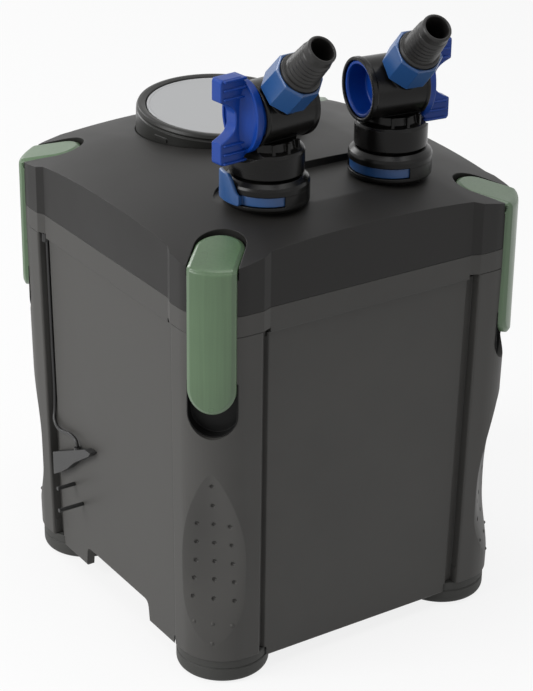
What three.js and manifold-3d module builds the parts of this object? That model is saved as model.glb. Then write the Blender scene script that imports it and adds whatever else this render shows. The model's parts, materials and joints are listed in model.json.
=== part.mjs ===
// Canister filter for an aquarium: a tub on four feet, a crowned head held by four
// corner latches, a round priming button, and two swivel taps with angled hose tails.
// Millimetres, +Z up. The origin is the middle of the base. The front is -Y, and
// left is -X, as seen from the front.
import * as THREE from "three";
import { mergeVertices } from "three/addons/utils/BufferGeometryUtils.js";
import Module from "manifold-3d";

const wasm = await Module();
wasm.setup();

// ---------------------------------------------------------------- driving sizes
const GAP = 0.3; // clearance between pieces that touch
const RUN = 0.4; // running clearance round a turning piece

// Tub
const HALF_X = 120; // half the width over the corner posts, at the seam
const HALF_Y = 122.5; // half the depth over the corner posts, at the seam
const CORNER_R = 30; // rounding of a corner post
const POST_FLAT = 10; // flat of a post beside its rounding
const POST = CORNER_R + POST_FLAT;
const COLUMN = 50; // side of the blocks that the corner columns are taken in
const PANEL_RECESS = 4.5; // side panels lie this far behind the posts
const GROOVE_W = 4.5; // dark groove between panel and post
const GROOVE_D = 2.5;
const NOTCH_H = 6; // wider head of each groove, under the band
const NOTCH_SIDE = 1.2; // how much wider it is towards the panel
const WALL = 3;
const SEAM_Z = 240.8; // top of the tub, under the head's band
const TAPER = 0.028; // the tub narrows by this share from the seam to its base
const SKIRT_Z = 10; // lower edge of the front and rear walls
const SIDE_ARCH_Z = 25; // lower edge of the left and right walls, between the wings
const SIDE_ARCH_HALF = 43;
const FLOOR_Z = 27; // underside of the tub's floor
const FLOOR_T = 3;
const CAVITY_R = 40; // rounding of the inside corners

// Feet
const FOOT_H = 16.5;
const FOOT_R = 29.5;
const FOOT_ROUND = 9; // rounding of a foot's lower edge

// Grip hollow in each post
const GRIP_Z0 = 27.5;
const GRIP_Z1 = 151;
const GRIP_DEEP_Z = 86; // height of the deepest point
const GRIP_DEPTH = 8.7;
const GRIP_HALF = 20.5; // half its greatest width

// Finger recess under each latch
const FINGER_Z = 174;
const FINGER_DEPTH = 8.5;

// Head
const BAND_H = 13; // light band round the head's base
const BAND_LIP = 3; // the band hangs this far over the panels
const BAND_LIP_T = 5;
const SKIRT_RECESS = 2.5; // head sides lie this far behind its corner blocks
const SKIRT_STEP = 6; // length of the slope between the two
const HEAD_WALL = 4;
const CROWN_Z = 305; // highest point of the crown
const CROWN_DROP_X = 12.3; // fall of the crown to the left and right edges
const CROWN_DROP_Y = 13; // fall of the crown to the front and rear edges
const CROWN_POWER = 2.3;
const CROWN_CELLS = 10;
const PLATE_T = 6; // floor of the head
const PLUG_DEPTH = 13; // rim of the head that stands in the tub's mouth
const PLUG_CLEARANCE = 0.8;
const GASKET_R = 1.6;

// Shelf that the taps stand on, and the step behind it
const SHELF_Z = 299;
const SHELF_HALF = 74;
const SHELF_BACK_Y = -40;
const SHELF_T = 14; // thickness of the shelf under a tap

// Latches, in the frame of a corner: u points outwards, w along, z up
const LATCH_W = 29.5;
const LATCH_T = 5;
const LATCH_OUT = 2.5; // the middle of the latch's face stands this far off the corner
const LATCH_BOW = 3; // fall of the face from its middle to its long edges
const LATCH_Z = 192; // lower end
const LATCH_CREASE_Z = 284; // fold between the side and the top
const LATCH_TOP_RISE = 8; // rise of the top from the fold to its inner end
const LATCH_TOP_LENGTH = 39; // from the fold to the inner end
const LATCH_CLEAR = 0.7;
const PIN_R = 1.6;
const KNUCKLE_R = 4; // the latch's barrel round its pin
const PIN_GRIP = 3; // length of a pin inside each pocket wall
const PIN_IN = 18.5; // distance from the top's inner end to the pin
const PIN_DROP = 1; // drop from the fold's height to the pin
const BARB_REACH = 3.6;
const BARB_H = 7;
const KEEPER_Z = 211.5; // lip of the tub that the barb snaps under
const KEEPER_SLOPE = 0.78;

// Priming button
const PRIMER_Y = 51;
const PRIMER_Z = 315.8; // middle of the bezel's top
const PRIMER_TILT = 3.4; // degrees, rear edge up
const DISC_R = 48.5;
const DISC_T = 1.2;
const BEZEL_WALL = 6.2;
const BEZEL_H = 31;
const BEZEL_FLOOR_T = 2.5;
const BUTTON_T = 3;
const BUTTON_SKIRT = 9;
const BUTTON_TRAVEL = 8;
const PISTON_R = 20;
const STEM_R = 8;
const PISTON_T = 6;
const PISTON_RIM = 1.5; // rims above and below the piston's seal
const SPRING_R = 27;
const SPRING_WIRE = 1.1;
const SPRING_TURNS = 4;

// Taps
const TAP_X = 45.4;
const TAP_Y = -71;
const TAP_TURN = 6; // degrees that each tap stands turned towards the other
const COLLAR_R = 26;
const COLLAR_FOOT_R = 24.5;
const COLLAR_H = 18;
const COLLAR_WALL = 4;
const WINDOW_Z = 4; // height of the window's sill over the shelf
const WINDOW_H = 6.5;
const WINDOW_FROM = 146; // degrees, anticlockwise from +X
const WINDOW_TO = 262;
const REAR_WINDOW_FROM = 20;
const REAR_WINDOW_TO = 132;
const LEVER_LEFT_FROM = 158;
const LEVER_RIGHT_FROM = 60;
const LEVER_TAB_ARC = 44; // degrees that the upright tab covers
const LEVER_TAB_H = 18;
const LEVER_TAB_T = 2.4;
const NECK_R = 22.6;
const NECK_BORE_R = 9;
const SPIGOT_R = 13.6;
const SPIGOT_DEPTH = 34;
const BARREL_Z = 355.6; // height of the valve barrels' axis
const BARREL_R = 19.9;
const BARREL_IN = 24.5; // from the neck's axis to the barrel's open end
const BARREL_OUT = 15.4; // and to its end under the handle
const PLUG_R = 17.2; // outer radius of the turning plug
const CUP_R = 15;
const CUP_DEPTH = 13;
const HANDLE_HIGH = 22.4; // half of the handle's oval plate
const HANDLE_WIDE = 17;
const HANDLE_PLATE_T = 3.5;
const HANDLE_RIM_T = 2.2;
const BLADE_HALF = 26; // half of the blade's height
const BLADE_REACH = 19.2; // reach of the handle's horns past its plate
const BLADE_WAIST = 7.9; // reach at the middle of the notch
const NOTCH_HALF = 12.5; // half of the notch between the horns
const BLADE_T = 9;
const HANDLE_RIB_H = 1.1;

// Hose tails, measured along their axis from the barrel's axis
const TAIL_ANGLE = 45.4; // degrees above the horizontal, towards the front
const BOSS_R = 12.4;
const BOSS_END = 34;
const NUT_FLATS = 33; // across the flats of the eight-sided nut
const NUT_START = 23.2;
const NUT_LENGTH = 18;
const NUT_CHAMFER = 2.6;
const TAIL_FLANGE_R = 13.2;
const TAIL_FLANGE_T = 3.5;
const TAIL_BASE_R = 10.9;
const TAIL_TIP_R = 9.2;
const TAIL_END = 68.3;
const TAIL_BORE_R = 7.2;
const TAIL_LIP = 6; // length of the smooth nose past the last ridge

// Pump, in the head
const PUMP_Y = 40;
const MOTOR_R = 33;
const MOTOR_TOP_Z = 278;
const MAGNET_R = 10;
const MAGNET_H = 24;
const VANE_R = 20;
const VANE_H = 8;
const VANE_T = 2;
const VANES = 6;
const SHAFT_R = 1.5;
const COVER_R = 27;
const COVER_T = 2.5;

// Media baskets and inlet tube
const BASKETS = 3;
const BASKET_H = 62;
const BASKET_WALL = 2;
const BASKET_CLEARANCE = 1.2;
const MEDIA_H = 48;
const INLET_R = 12;
const INLET_WALL = 2;
const INLET_END_Z = 36;
const SLEEVE_WALL = 2;

// Thin lead in the rear groove of the left face, with its gland, clip and pegs
const LEAD_R = 1.2;
const GLAND_R = 2.5;
const GLAND_H = 6;
const CLIP_T = 5;
const CLIP_BOSS_R = 2.3;
const PEG_R = 1.4;

const SEGMENTS = 16; // facets of a middling round
const LARGE_SEGMENTS = 28;
const SMALL_SEGMENTS = 10;

// ---------------------------------------------------------------- solids
const rad = THREE.MathUtils.degToRad;

// A closed three.js geometry as a solid, placed by a matrix where one is given.
function solid(geometry, matrix) {
  const bare = new THREE.BufferGeometry();
  bare.setAttribute("position", geometry.getAttribute("position").clone());
  if (geometry.index) bare.setIndex(geometry.index.clone());
  if (matrix) bare.applyMatrix4(matrix);
  const merged = mergeVertices(bare, 1e-4);
  const triangles = [];
  const index = merged.index.array;
  for (let i = 0; i < index.length; i += 3) {
    const [a, b, c] = [index[i], index[i + 1], index[i + 2]];
    if (a !== b && b !== c && c !== a) triangles.push(a, b, c);
  }
  const build = (triVerts) =>
    new wasm.Manifold(
      new wasm.Mesh({
        numProp: 3,
        vertProperties: new Float32Array(merged.attributes.position.array),
        triVerts: new Uint32Array(triVerts),
      }),
    );
  const made = build(triangles);
  if (made.volume() >= 0) return made;
  for (let i = 0; i < triangles.length; i += 3)
    [triangles[i + 1], triangles[i + 2]] = [triangles[i + 2], triangles[i + 1]];
  return build(triangles);
}

const join = (first, ...rest) => rest.reduce((all, next) => all.add(next), first);
const cut = (first, ...rest) => rest.reduce((left, next) => left.subtract(next), first);

const moved = (x, y, z) => new THREE.Matrix4().makeTranslation(x, y, z);

function box(x0, x1, y0, y1, z0, z1, matrix) {
  const geometry = new THREE.BoxGeometry(x1 - x0, y1 - y0, z1 - z0);
  geometry.translate((x0 + x1) / 2, (y0 + y1) / 2, (z0 + z1) / 2);
  return solid(geometry, matrix);
}

// A box between two corners given in any order along X and Y.
const slab = (xa, xb, ya, yb, z0, z1) =>
  box(Math.min(xa, xb), Math.max(xa, xb), Math.min(ya, yb), Math.max(ya, yb), z0, z1);

// A solid of revolution about Z from [radius, height] points.
function turned(points, segments = SEGMENTS, matrix) {
  const onAxis = points[0][0] === 0 && points.at(-1)[0] === 0;
  const profile = onAxis ? points : [...points, points[0]];
  const geometry = new THREE.LatheGeometry(
    profile.map(([r, z]) => new THREE.Vector2(r, z)),
    segments,
  );
  geometry.rotateX(Math.PI / 2);
  return solid(geometry, matrix);
}

const rod = (r, z0, z1, segments, matrix) =>
  turned([[0, z0], [r, z0], [r, z1], [0, z1]], segments, matrix);

const ring = (outer, inner, z0, z1, segments, matrix) =>
  turned([[inner, z0], [outer, z0], [outer, z1], [inner, z1]], segments, matrix);

// A flat outline of [x, y] points raised from z0 to z1.
function raised(points, z0, z1, matrix) {
  const shape = new THREE.Shape(points.map(([x, y]) => new THREE.Vector2(x, y)));
  const geometry = new THREE.ExtrudeGeometry(shape, { depth: z1 - z0, bevelEnabled: false });
  geometry.translate(0, 0, z0);
  return solid(geometry, matrix);
}

// A skin over outlines that have the same number of points, with flat ends.
function lofted(sections, matrix) {
  const count = sections[0].length;
  const positions = sections.flat(2);
  const index = [];
  for (let s = 0; s < sections.length - 1; s++)
    for (let i = 0; i < count; i++) {
      const [a, b] = [s * count + i, s * count + ((i + 1) % count)];
      index.push(a, b, b + count, a, b + count, a + count);
    }
  const flat = sections[0].map(([x, y]) => new THREE.Vector2(x, y));
  const last = (sections.length - 1) * count;
  for (const [a, b, c] of THREE.ShapeUtils.triangulateShape(flat, []))
    index.push(a, c, b, a + last, b + last, c + last);
  const geometry = new THREE.BufferGeometry();
  geometry.setAttribute("position", new THREE.Float32BufferAttribute(positions, 3));
  geometry.setIndex(index);
  return solid(geometry, matrix);
}

// A round bar along a curve.
function bar(curve, r, steps, sides) {
  const section = new THREE.Shape();
  section.absarc(0, 0, r, 0, 2 * Math.PI);
  return solid(
    new THREE.ExtrudeGeometry(section, {
      steps,
      curveSegments: sides,
      extrudePath: curve,
      bevelEnabled: false,
    }),
  );
}

// ---------------------------------------------------------------- outlines
// The plan of the tub or the head in one quadrant, from the side face to the end
// face: a recessed face, a slope or groove, a flat and a rounded corner.
function plan(halfX, halfY, recess, step, groove) {
  const quarter = [[halfX - recess, halfY - POST - step]];
  if (groove) {
    quarter.push([halfX - recess - groove, halfY - POST - step]);
    quarter.push([halfX - recess - groove, halfY - POST]);
  }
  quarter.push([halfX, halfY - POST]);
  for (let i = 0; i <= 6; i++) {
    const angle = (i / 6) * (Math.PI / 2);
    quarter.push([
      halfX - CORNER_R + CORNER_R * Math.cos(angle),
      halfY - CORNER_R + CORNER_R * Math.sin(angle),
    ]);
  }
  quarter.push([halfX - POST, halfY]);
  if (groove) {
    quarter.push([halfX - POST, halfY - recess - groove]);
    quarter.push([halfX - POST - step, halfY - recess - groove]);
  }
  quarter.push([halfX - POST - step, halfY - recess]);
  const turn = (sx, sy, points) => points.map(([x, y]) => [sx * x, sy * y]);
  const back = [...quarter].reverse();
  return [
    ...turn(1, 1, quarter),
    ...turn(-1, 1, back),
    ...turn(-1, -1, quarter),
    ...turn(1, -1, back),
  ];
}

// A rectangle with rounded corners, as [x, y] points.
function rounded(halfX, halfY, r, steps = 6) {
  const points = [];
  [[1, 1], [-1, 1], [-1, -1], [1, -1]].forEach(([sx, sy], corner) => {
    for (let i = 0; i <= steps; i++) {
      const angle = ((corner + i / steps) * Math.PI) / 2;
      points.push([
        sx * (halfX - r) + r * Math.cos(angle),
        sy * (halfY - r) + r * Math.sin(angle),
      ]);
    }
  });
  return points;
}

const shrink = (z) => 1 - (TAPER * Math.max(0, SEAM_Z - z)) / SEAM_Z;
const faceX = (z) => (HALF_X - PANEL_RECESS) * shrink(z);
const grooveFloorX = (z) => faceX(z) - GROOVE_D * shrink(z);
const grooveFloorY = (z) => (HALF_Y - PANEL_RECESS - GROOVE_D) * shrink(z);
const at = (points, z, share = 1) => points.map(([x, y]) => [x * share, y * share, z]);

// ---------------------------------------------------------------- corner frames
const CORNERS = [
  ["front_left", -1, -1],
  ["front_right", 1, -1],
  ["rear_right", 1, 1],
  ["rear_left", -1, 1],
];

function cornerFrame(sx, sy) {
  const frame = new THREE.Matrix4().makeRotationZ(Math.atan2(sy, sx));
  frame.setPosition(sx * (HALF_X - CORNER_R), sy * (HALF_Y - CORNER_R), 0);
  return frame;
}

// The height of the crown over a point of the plan.
function crownHeight(x, y) {
  const fall = (drop, share) => drop * Math.pow(Math.abs(share), CROWN_POWER);
  return CROWN_Z - fall(CROWN_DROP_X, x / HALF_X) - fall(CROWN_DROP_Y, y / HALF_Y);
}

// All that lies under the crown, lowered by a wall.
function underCrown(drop) {
  const [low, side] = [SEAM_Z - 40, 1.1];
  const n = CROWN_CELLS;
  const positions = [];
  for (const top of [true, false])
    for (let j = 0; j <= n; j++)
      for (let i = 0; i <= n; i++) {
        const x = (2 * i / n - 1) * HALF_X * side;
        const y = (2 * j / n - 1) * HALF_Y * side;
        positions.push(x, y, top ? crownHeight(x, y) - drop : low);
      }
  const corner = (layer, i, j) => layer * (n + 1) ** 2 + j * (n + 1) + i;
  const index = [];
  const quad = (a, b, c, d) => index.push(a, b, c, a, c, d);
  for (let j = 0; j < n; j++)
    for (let i = 0; i < n; i++) {
      quad(corner(0, i, j), corner(0, i + 1, j), corner(0, i + 1, j + 1), corner(0, i, j + 1));
      quad(corner(1, i, j), corner(1, i, j + 1), corner(1, i + 1, j + 1), corner(1, i + 1, j));
    }
  for (let i = 0; i < n; i++) {
    quad(corner(1, i, 0), corner(1, i + 1, 0), corner(0, i + 1, 0), corner(0, i, 0));
    quad(corner(0, i, n), corner(0, i + 1, n), corner(1, i + 1, n), corner(1, i, n));
    quad(corner(0, 0, i), corner(0, 0, i + 1), corner(1, 0, i + 1), corner(1, 0, i));
    quad(corner(1, n, i), corner(1, n, i + 1), corner(0, n, i + 1), corner(0, n, i));
  }
  const geometry = new THREE.BufferGeometry();
  geometry.setAttribute("position", new THREE.Float32BufferAttribute(positions, 3));
  geometry.setIndex(index);
  return solid(geometry);
}

// ---------------------------------------------------------------- latches
const LATCH_FACE_U = CORNER_R + LATCH_OUT; // outer face of the latch's side
const LATCH_BACK_U = LATCH_FACE_U - LATCH_T;
const LATCH_FLOOR_U = LATCH_BACK_U - 1; // flat cut behind the latch
const TOP_INNER_U = LATCH_FACE_U - LATCH_TOP_LENGTH;
const PIN_U = TOP_INNER_U + PIN_IN;
const PIN_Z = LATCH_CREASE_Z - PIN_DROP;
// Clears the inner end as the latch swings.
const POCKET_R = Math.hypot(PIN_IN, LATCH_TOP_RISE + PIN_DROP) + LATCH_CLEAR;
const CHANNEL_Z = LATCH_CREASE_Z - LATCH_T - 2; // floor of the channel outside the pin
const POCKET_HALF = LATCH_W / 2 + LATCH_CLEAR;

// Maps x, y, z of a flat outline to w, z, u, so that an extrusion runs outwards.
const UPRIGHT = new THREE.Matrix4().set(0, 0, 1, 0, 1, 0, 0, 0, 0, 1, 0, 0, 0, 0, 0, 1);
// Maps x, y, z of a flat outline to u, z, w, so that an extrusion runs along.
const SIDEWAYS = new THREE.Matrix4().set(1, 0, 0, 0, 0, 0, -1, 0, 0, 1, 0, 0, 0, 0, 0, 1);

// A strip with a half-round end at its low end, in [w, z].
function tongue(half, z0, z1, steps = 10) {
  const points = [[half, z1]];
  points.push([-half, z1]);
  for (let i = 0; i <= steps; i++) {
    const angle = Math.PI + (i / steps) * Math.PI;
    points.push([half * Math.cos(angle), z0 + half + half * Math.sin(angle)]);
  }
  return points.reverse();
}

const keeperZ = (u) => KEEPER_Z + (u - LATCH_FLOOR_U) * KEEPER_SLOPE;

function latchSolid() {
  const half = LATCH_W / 2;
  const bowed = [[TOP_INNER_U - 1, half], [TOP_INNER_U - 1, -half]];
  for (let i = -3; i <= 3; i++)
    bowed.push([LATCH_FACE_U - LATCH_BOW * (i / 3) ** 2, (half * i) / 3]);
  const plate = raised(tongue(half, LATCH_Z, LATCH_CREASE_Z), LATCH_BACK_U, LATCH_FACE_U, UPRIGHT);
  const topSlab = raised(
    [
      [LATCH_FACE_U, LATCH_CREASE_Z - LATCH_T - 1],
      [LATCH_FACE_U, LATCH_CREASE_Z],
      [LATCH_FACE_U - 2, LATCH_CREASE_Z + 1],
      [TOP_INNER_U, LATCH_CREASE_Z + LATCH_TOP_RISE],
      [TOP_INNER_U, LATCH_CREASE_Z + LATCH_TOP_RISE - LATCH_T],
      [LATCH_BACK_U, LATCH_CREASE_Z - LATCH_T - 1],
    ],
    -half,
    half,
    SIDEWAYS,
  );
  const lobe = rod(half, LATCH_Z, CROWN_Z, SEGMENTS, moved(TOP_INNER_U + half, 0, 0));
  const outer = box(TOP_INNER_U + half, LATCH_FACE_U, -half, half, LATCH_Z, CROWN_Z);
  const top = topSlab.intersect(join(lobe, outer));
  const knuckleHalf = half - 6;
  const across = new THREE.Matrix4().makeRotationX(Math.PI / 2);
  const alongPin = moved(PIN_U, 0, PIN_Z).multiply(across);
  const knuckle = rod(KNUCKLE_R, -knuckleHalf, knuckleHalf, SMALL_SEGMENTS, alongPin);
  const bore = rod(PIN_R + RUN, -half, half, SMALL_SEGMENTS, alongPin);
  const barbTip = LATCH_BACK_U - BARB_REACH;
  const barb = raised(
    [
      [LATCH_BACK_U + 1, keeperZ(barbTip) - BARB_H],
      [LATCH_BACK_U + 1, keeperZ(LATCH_BACK_U) - 2 * GAP],
      [LATCH_BACK_U, keeperZ(LATCH_BACK_U) - 2 * GAP],
      [barbTip, keeperZ(barbTip) - 2 * GAP],
      [barbTip, keeperZ(barbTip) - BARB_H / 2],
    ],
    -half / 2,
    half / 2,
    SIDEWAYS,
  );
  const face = join(plate, top).intersect(raised(bowed, LATCH_Z - 1, CROWN_Z));
  return cut(join(face, knuckle, barb), bore);
}

// What is cut from the head round a latch: the channel, the flat behind the side
// and the holes for the pin.
function latchPocket() {
  const centre = PIN_U - POCKET_R + POCKET_HALF;
  const floorZ = PIN_Z - POCKET_R;
  const top = CROWN_Z + 9;
  const round = rod(POCKET_HALF, floorZ, top, LARGE_SEGMENTS, moved(centre, 0, 0));
  const deep = box(centre, PIN_U + KNUCKLE_R + 1, -POCKET_HALF, POCKET_HALF, floorZ, top);
  const channel = box(centre, CORNER_R + 9, -POCKET_HALF, POCKET_HALF, CHANNEL_Z, top);
  const flat = box(LATCH_FLOOR_U, CORNER_R + 9, -POCKET_HALF, POCKET_HALF, SEAM_Z - 9, top);
  const across = moved(PIN_U, 0, PIN_Z).multiply(new THREE.Matrix4().makeRotationX(Math.PI / 2));
  const reach = POCKET_HALF + PIN_GRIP + GAP;
  const hole = rod(PIN_R + GAP, -reach, reach, SMALL_SEGMENTS, across);
  return join(round, deep, channel, flat, hole);
}

// How far the tub's taper draws a post in, along the corner's diagonal.
const lean = (z) => (1 - shrink(z)) * (Math.hypot(HALF_X - CORNER_R, HALF_Y - CORNER_R) + CORNER_R);

// The grip hollow of a post, as outlines from its low end to its high end.
function gripHollow() {
  const levels = 8;
  const ease = (t) => Math.sin((Math.min(1, Math.max(0, t)) * Math.PI) / 2);
  const sections = [];
  for (let k = 0; k <= levels; k++) {
    const z = GRIP_Z0 + (GRIP_Z1 - GRIP_Z0) * (0.5 - 0.5 * Math.cos((k / levels) * Math.PI));
    const low = (z - GRIP_Z0) / (GRIP_DEEP_Z - GRIP_Z0);
    const high = (GRIP_Z1 - z) / (GRIP_Z1 - GRIP_DEEP_Z);
    const depth = Math.max(0.1, GRIP_DEPTH * Math.min(ease(low) ** 1.4, ease(high) ** 1.2));
    const half = Math.max(0.5, GRIP_HALF * Math.min(ease(low * 1.6) ** 0.6, ease(high) ** 0.7));
    const points = [[CORNER_R + 6, -half, z], [CORNER_R + 6, half, z]];
    for (let i = 4; i >= -4; i--) {
      const angle = ((i / 4) * Math.PI) / 2;
      const w = half * Math.sin(angle);
      const surface = Math.sqrt(CORNER_R ** 2 - w ** 2) - lean(z);
      points.push([surface - depth * Math.cos(angle), w, z]);
    }
    sections.push(points);
  }
  return sections;
}

// ---------------------------------------------------------------- tub
const CAVITY_HALF_X = HALF_X - PANEL_RECESS - GROOVE_D - WALL;
const CAVITY_HALF_Y = HALF_Y - PANEL_RECESS - GROOVE_D - WALL;

// The whole tub, which is one moulding.
function tubSolid() {
  const outline = plan(HALF_X, HALF_Y, PANEL_RECESS, GROOVE_W, GROOVE_D);
  const shell = lofted([at(outline, SKIRT_Z, shrink(SKIRT_Z)), at(outline, SEAM_Z)]);
  const mouth = rounded(CAVITY_HALF_X, CAVITY_HALF_Y, CAVITY_R);
  const floorTop = FLOOR_Z + FLOOR_T;
  const inside = lofted([at(mouth, floorTop, shrink(floorTop)), at(mouth, SEAM_Z + 9, 1)]);
  const under = lofted([at(mouth, 0, shrink(0)), at(mouth, FLOOR_Z, shrink(0))]);
  const reach = Math.max(HALF_X, HALF_Y) + 9;
  const arch = SIDE_ARCH_HALF;
  const sideArch = raised(
    [[-arch, 0], [arch, 0], [arch - 3, SIDE_ARCH_Z], [3 - arch, SIDE_ARCH_Z]],
    -reach,
    reach,
    UPRIGHT,
  );
  let tub = cut(shell, inside, under, sideArch);
  const lipZ = SEAM_Z - BAND_LIP - GAP;
  const rebate = BAND_LIP_T + GAP;
  const [sideX, endY] = [HALF_X - SKIRT_RECESS - rebate, HALF_Y - SKIRT_RECESS - rebate];
  const [postX, postY] = [HALF_X - POST, HALF_Y - POST];
  const [grooveX, grooveY] = [grooveFloorX(SEAM_Z), grooveFloorY(SEAM_Z)];
  const wide = GROOVE_W + NOTCH_SIDE;
  for (const s of [-1, 1]) {
    tub = cut(tub, slab(s * sideX, s * reach, -postY, postY, lipZ, SEAM_Z + 1));
    tub = cut(tub, slab(-postX, postX, s * endY, s * reach, lipZ, SEAM_Z + 1));
    for (const t of [-1, 1]) {
      const [y0, x0] = [t * (postY - wide), t * (postX - wide)];
      const notchZ = SEAM_Z - NOTCH_H;
      tub = cut(tub, slab(s * grooveX, s * reach, y0, t * postY, notchZ, SEAM_Z + 1));
      tub = cut(tub, slab(x0, t * postX, s * grooveY, s * reach, notchZ, SEAM_Z + 1));
    }
  }
  for (const [, sx, sy] of CORNERS) {
    const frame = cornerFrame(sx, sy);
    const footX = (HALF_X * shrink(0) - CORNER_R) * sx;
    const footY = (HALF_Y * shrink(0) - CORNER_R) * sy;
    const seat = rod(FOOT_R + 1, 0, FOOT_H + GAP, LARGE_SEGMENTS, moved(footX, footY, 0));
    const [px, py] = [(HALF_X - POST) * shrink(0), (HALF_Y - POST) * shrink(0)];
    const underPost = slab(sx * px, sx * reach, sy * py, sy * reach, 0, FOOT_H + GAP);
    const flat = raised(
      tongue(POCKET_HALF, FINGER_Z, SEAM_Z + 9),
      LATCH_FLOOR_U,
      CORNER_R + 9,
      frame.clone().multiply(UPRIGHT),
    );
    const well = raised(
      tongue(POCKET_HALF, FINGER_Z, SEAM_Z),
      LATCH_FLOOR_U - FINGER_DEPTH,
      LATCH_FLOOR_U + 1,
      frame.clone().multiply(UPRIGHT),
    );
    const underKeeper = raised(
      [
        [0, 0],
        [LATCH_FLOOR_U + 2, 0],
        [LATCH_FLOOR_U + 2, keeperZ(LATCH_FLOOR_U + 2)],
        [0, keeperZ(0)],
      ],
      -CORNER_R,
      CORNER_R,
      frame.clone().multiply(SIDEWAYS),
    );
    tub = cut(tub, flat, well.intersect(underKeeper), lofted(gripHollow(), frame));
    // The post ends in a solid plate over its foot.
    const pad = rod(FOOT_R, FOOT_H + GAP, FLOOR_Z + 1, LARGE_SEGMENTS, moved(footX, footY, 0));
    const within = raised(at(outline, 0, shrink(0)), FOOT_H + GAP, FLOOR_Z + 1);
    tub = join(cut(tub, seat, underPost), pad.intersect(within));
  }
  return tub;
}

// The block of a corner column, from its inner corner outwards.
function columnBlock(sx, sy, inset) {
  const [x, y] = [HALF_X - COLUMN + inset, HALF_Y - COLUMN + inset];
  const [farX, farY] = [HALF_X + 9, HALF_Y + 9];
  return slab(sx * x, sx * farX, sy * y, sy * farY, 0, SEAM_Z + 1);
}

function footSolid() {
  const low = FOOT_ROUND;
  const profile = [[0, 0], [FOOT_R - low, 0]];
  for (let i = 1; i <= 4; i++) {
    const angle = ((i / 4) * Math.PI) / 2;
    profile.push([FOOT_R - low + low * Math.sin(angle), low * (1 - Math.cos(angle))]);
  }
  profile.push([FOOT_R, FOOT_H], [0, FOOT_H]);
  return turned(profile, LARGE_SEGMENTS);
}

// ---------------------------------------------------------------- head
const BAND_Z0 = SEAM_Z + GAP;
const BAND_Z1 = BAND_Z0 + BAND_H;
const SHELL_Z0 = BAND_Z1 + GAP;
const PLATE_Z0 = BAND_Z0 + 4;

function primerFrame() {
  const frame = new THREE.Matrix4().makeRotationX(rad(PRIMER_TILT));
  frame.setPosition(0, PRIMER_Y, PRIMER_Z);
  return frame;
}

const BEZEL_R = DISC_R + GAP * 2 + BEZEL_WALL;
const BOSS_CLEAR = 0.5;

// The eight-sided room inside the head, clear of the latch pockets.
function headRoom() {
  const [hx, hy] = [HALF_X - SKIRT_RECESS - HEAD_WALL, HALF_Y - SKIRT_RECESS - HEAD_WALL];
  const keep = CORNER_R - (PIN_U - POCKET_R) + HEAD_WALL; // kept from the rounding inwards
  const reach = keep * Math.SQRT2 - CORNER_R * (2 - Math.SQRT2) + CORNER_R * Math.SQRT2 * 0.59;
  const points = [[hx, hy - reach], [hx - reach, hy]];
  return [
    ...points,
    [-points[1][0], points[1][1]], [-points[0][0], points[0][1]],
    [-points[0][0], -points[0][1]], [-points[1][0], -points[1][1]],
    [points[1][0], -points[1][1]], [points[0][0], -points[0][1]],
  ];
}

function headShellSolid() {
  const outline = plan(HALF_X, HALF_Y, SKIRT_RECESS, SKIRT_STEP, 0);
  const crown = underCrown(0);
  const body = raised(outline, SHELL_Z0, CROWN_Z + 9).intersect(crown);
  const roof = box(
    -SHELF_HALF - HEAD_WALL, SHELF_HALF + HEAD_WALL, -HALF_Y, SHELF_BACK_Y + HEAD_WALL,
    SHELF_Z - HEAD_WALL, CROWN_Z,
  );
  const under = raised(headRoom(), SHELL_Z0 - 9, CROWN_Z).intersect(underCrown(HEAD_WALL));
  const room = cut(under, roof);
  const tilt = primerFrame();
  const depth = BEZEL_H + GAP;
  const boss = rod(BEZEL_R + BOSS_CLEAR + 3, -depth - 3, 5, LARGE_SEGMENTS, tilt).intersect(crown);
  const well = rod(BEZEL_R + BOSS_CLEAR, -depth, 20, LARGE_SEGMENTS, tilt);
  const drain = rod(BEZEL_R - 12, -depth - 9, 0, SEGMENTS, tilt);
  const pads = [];
  const bores = [];
  for (const side of [-1, 1]) {
    const here = moved(side * TAP_X, TAP_Y, 0);
    pads.push(rod(COLLAR_R + 1.5, SHELF_Z - SHELF_T, SHELF_Z, SEGMENTS, here));
    bores.push(rod(SPIGOT_R + BOSS_CLEAR, SHELL_Z0, CROWN_Z, SEGMENTS, here));
  }
  const shelf = box(-SHELF_HALF, SHELF_HALF, -HALF_Y, SHELF_BACK_Y, SHELF_Z, CROWN_Z + 9);
  let head = join(cut(cut(body, room), shelf), boss, ...pads);
  head = cut(head, well, drain, shelf, ...bores);
  for (const [, sx, sy] of CORNERS) head = cut(head, solidAt(latchPocket, cornerFrame(sx, sy)));
  return head;
}

// A solid that a function makes in a local frame, moved to where the frame stands.
function solidAt(make, frame) {
  return solid(geometryOf(make()), frame);
}

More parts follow.
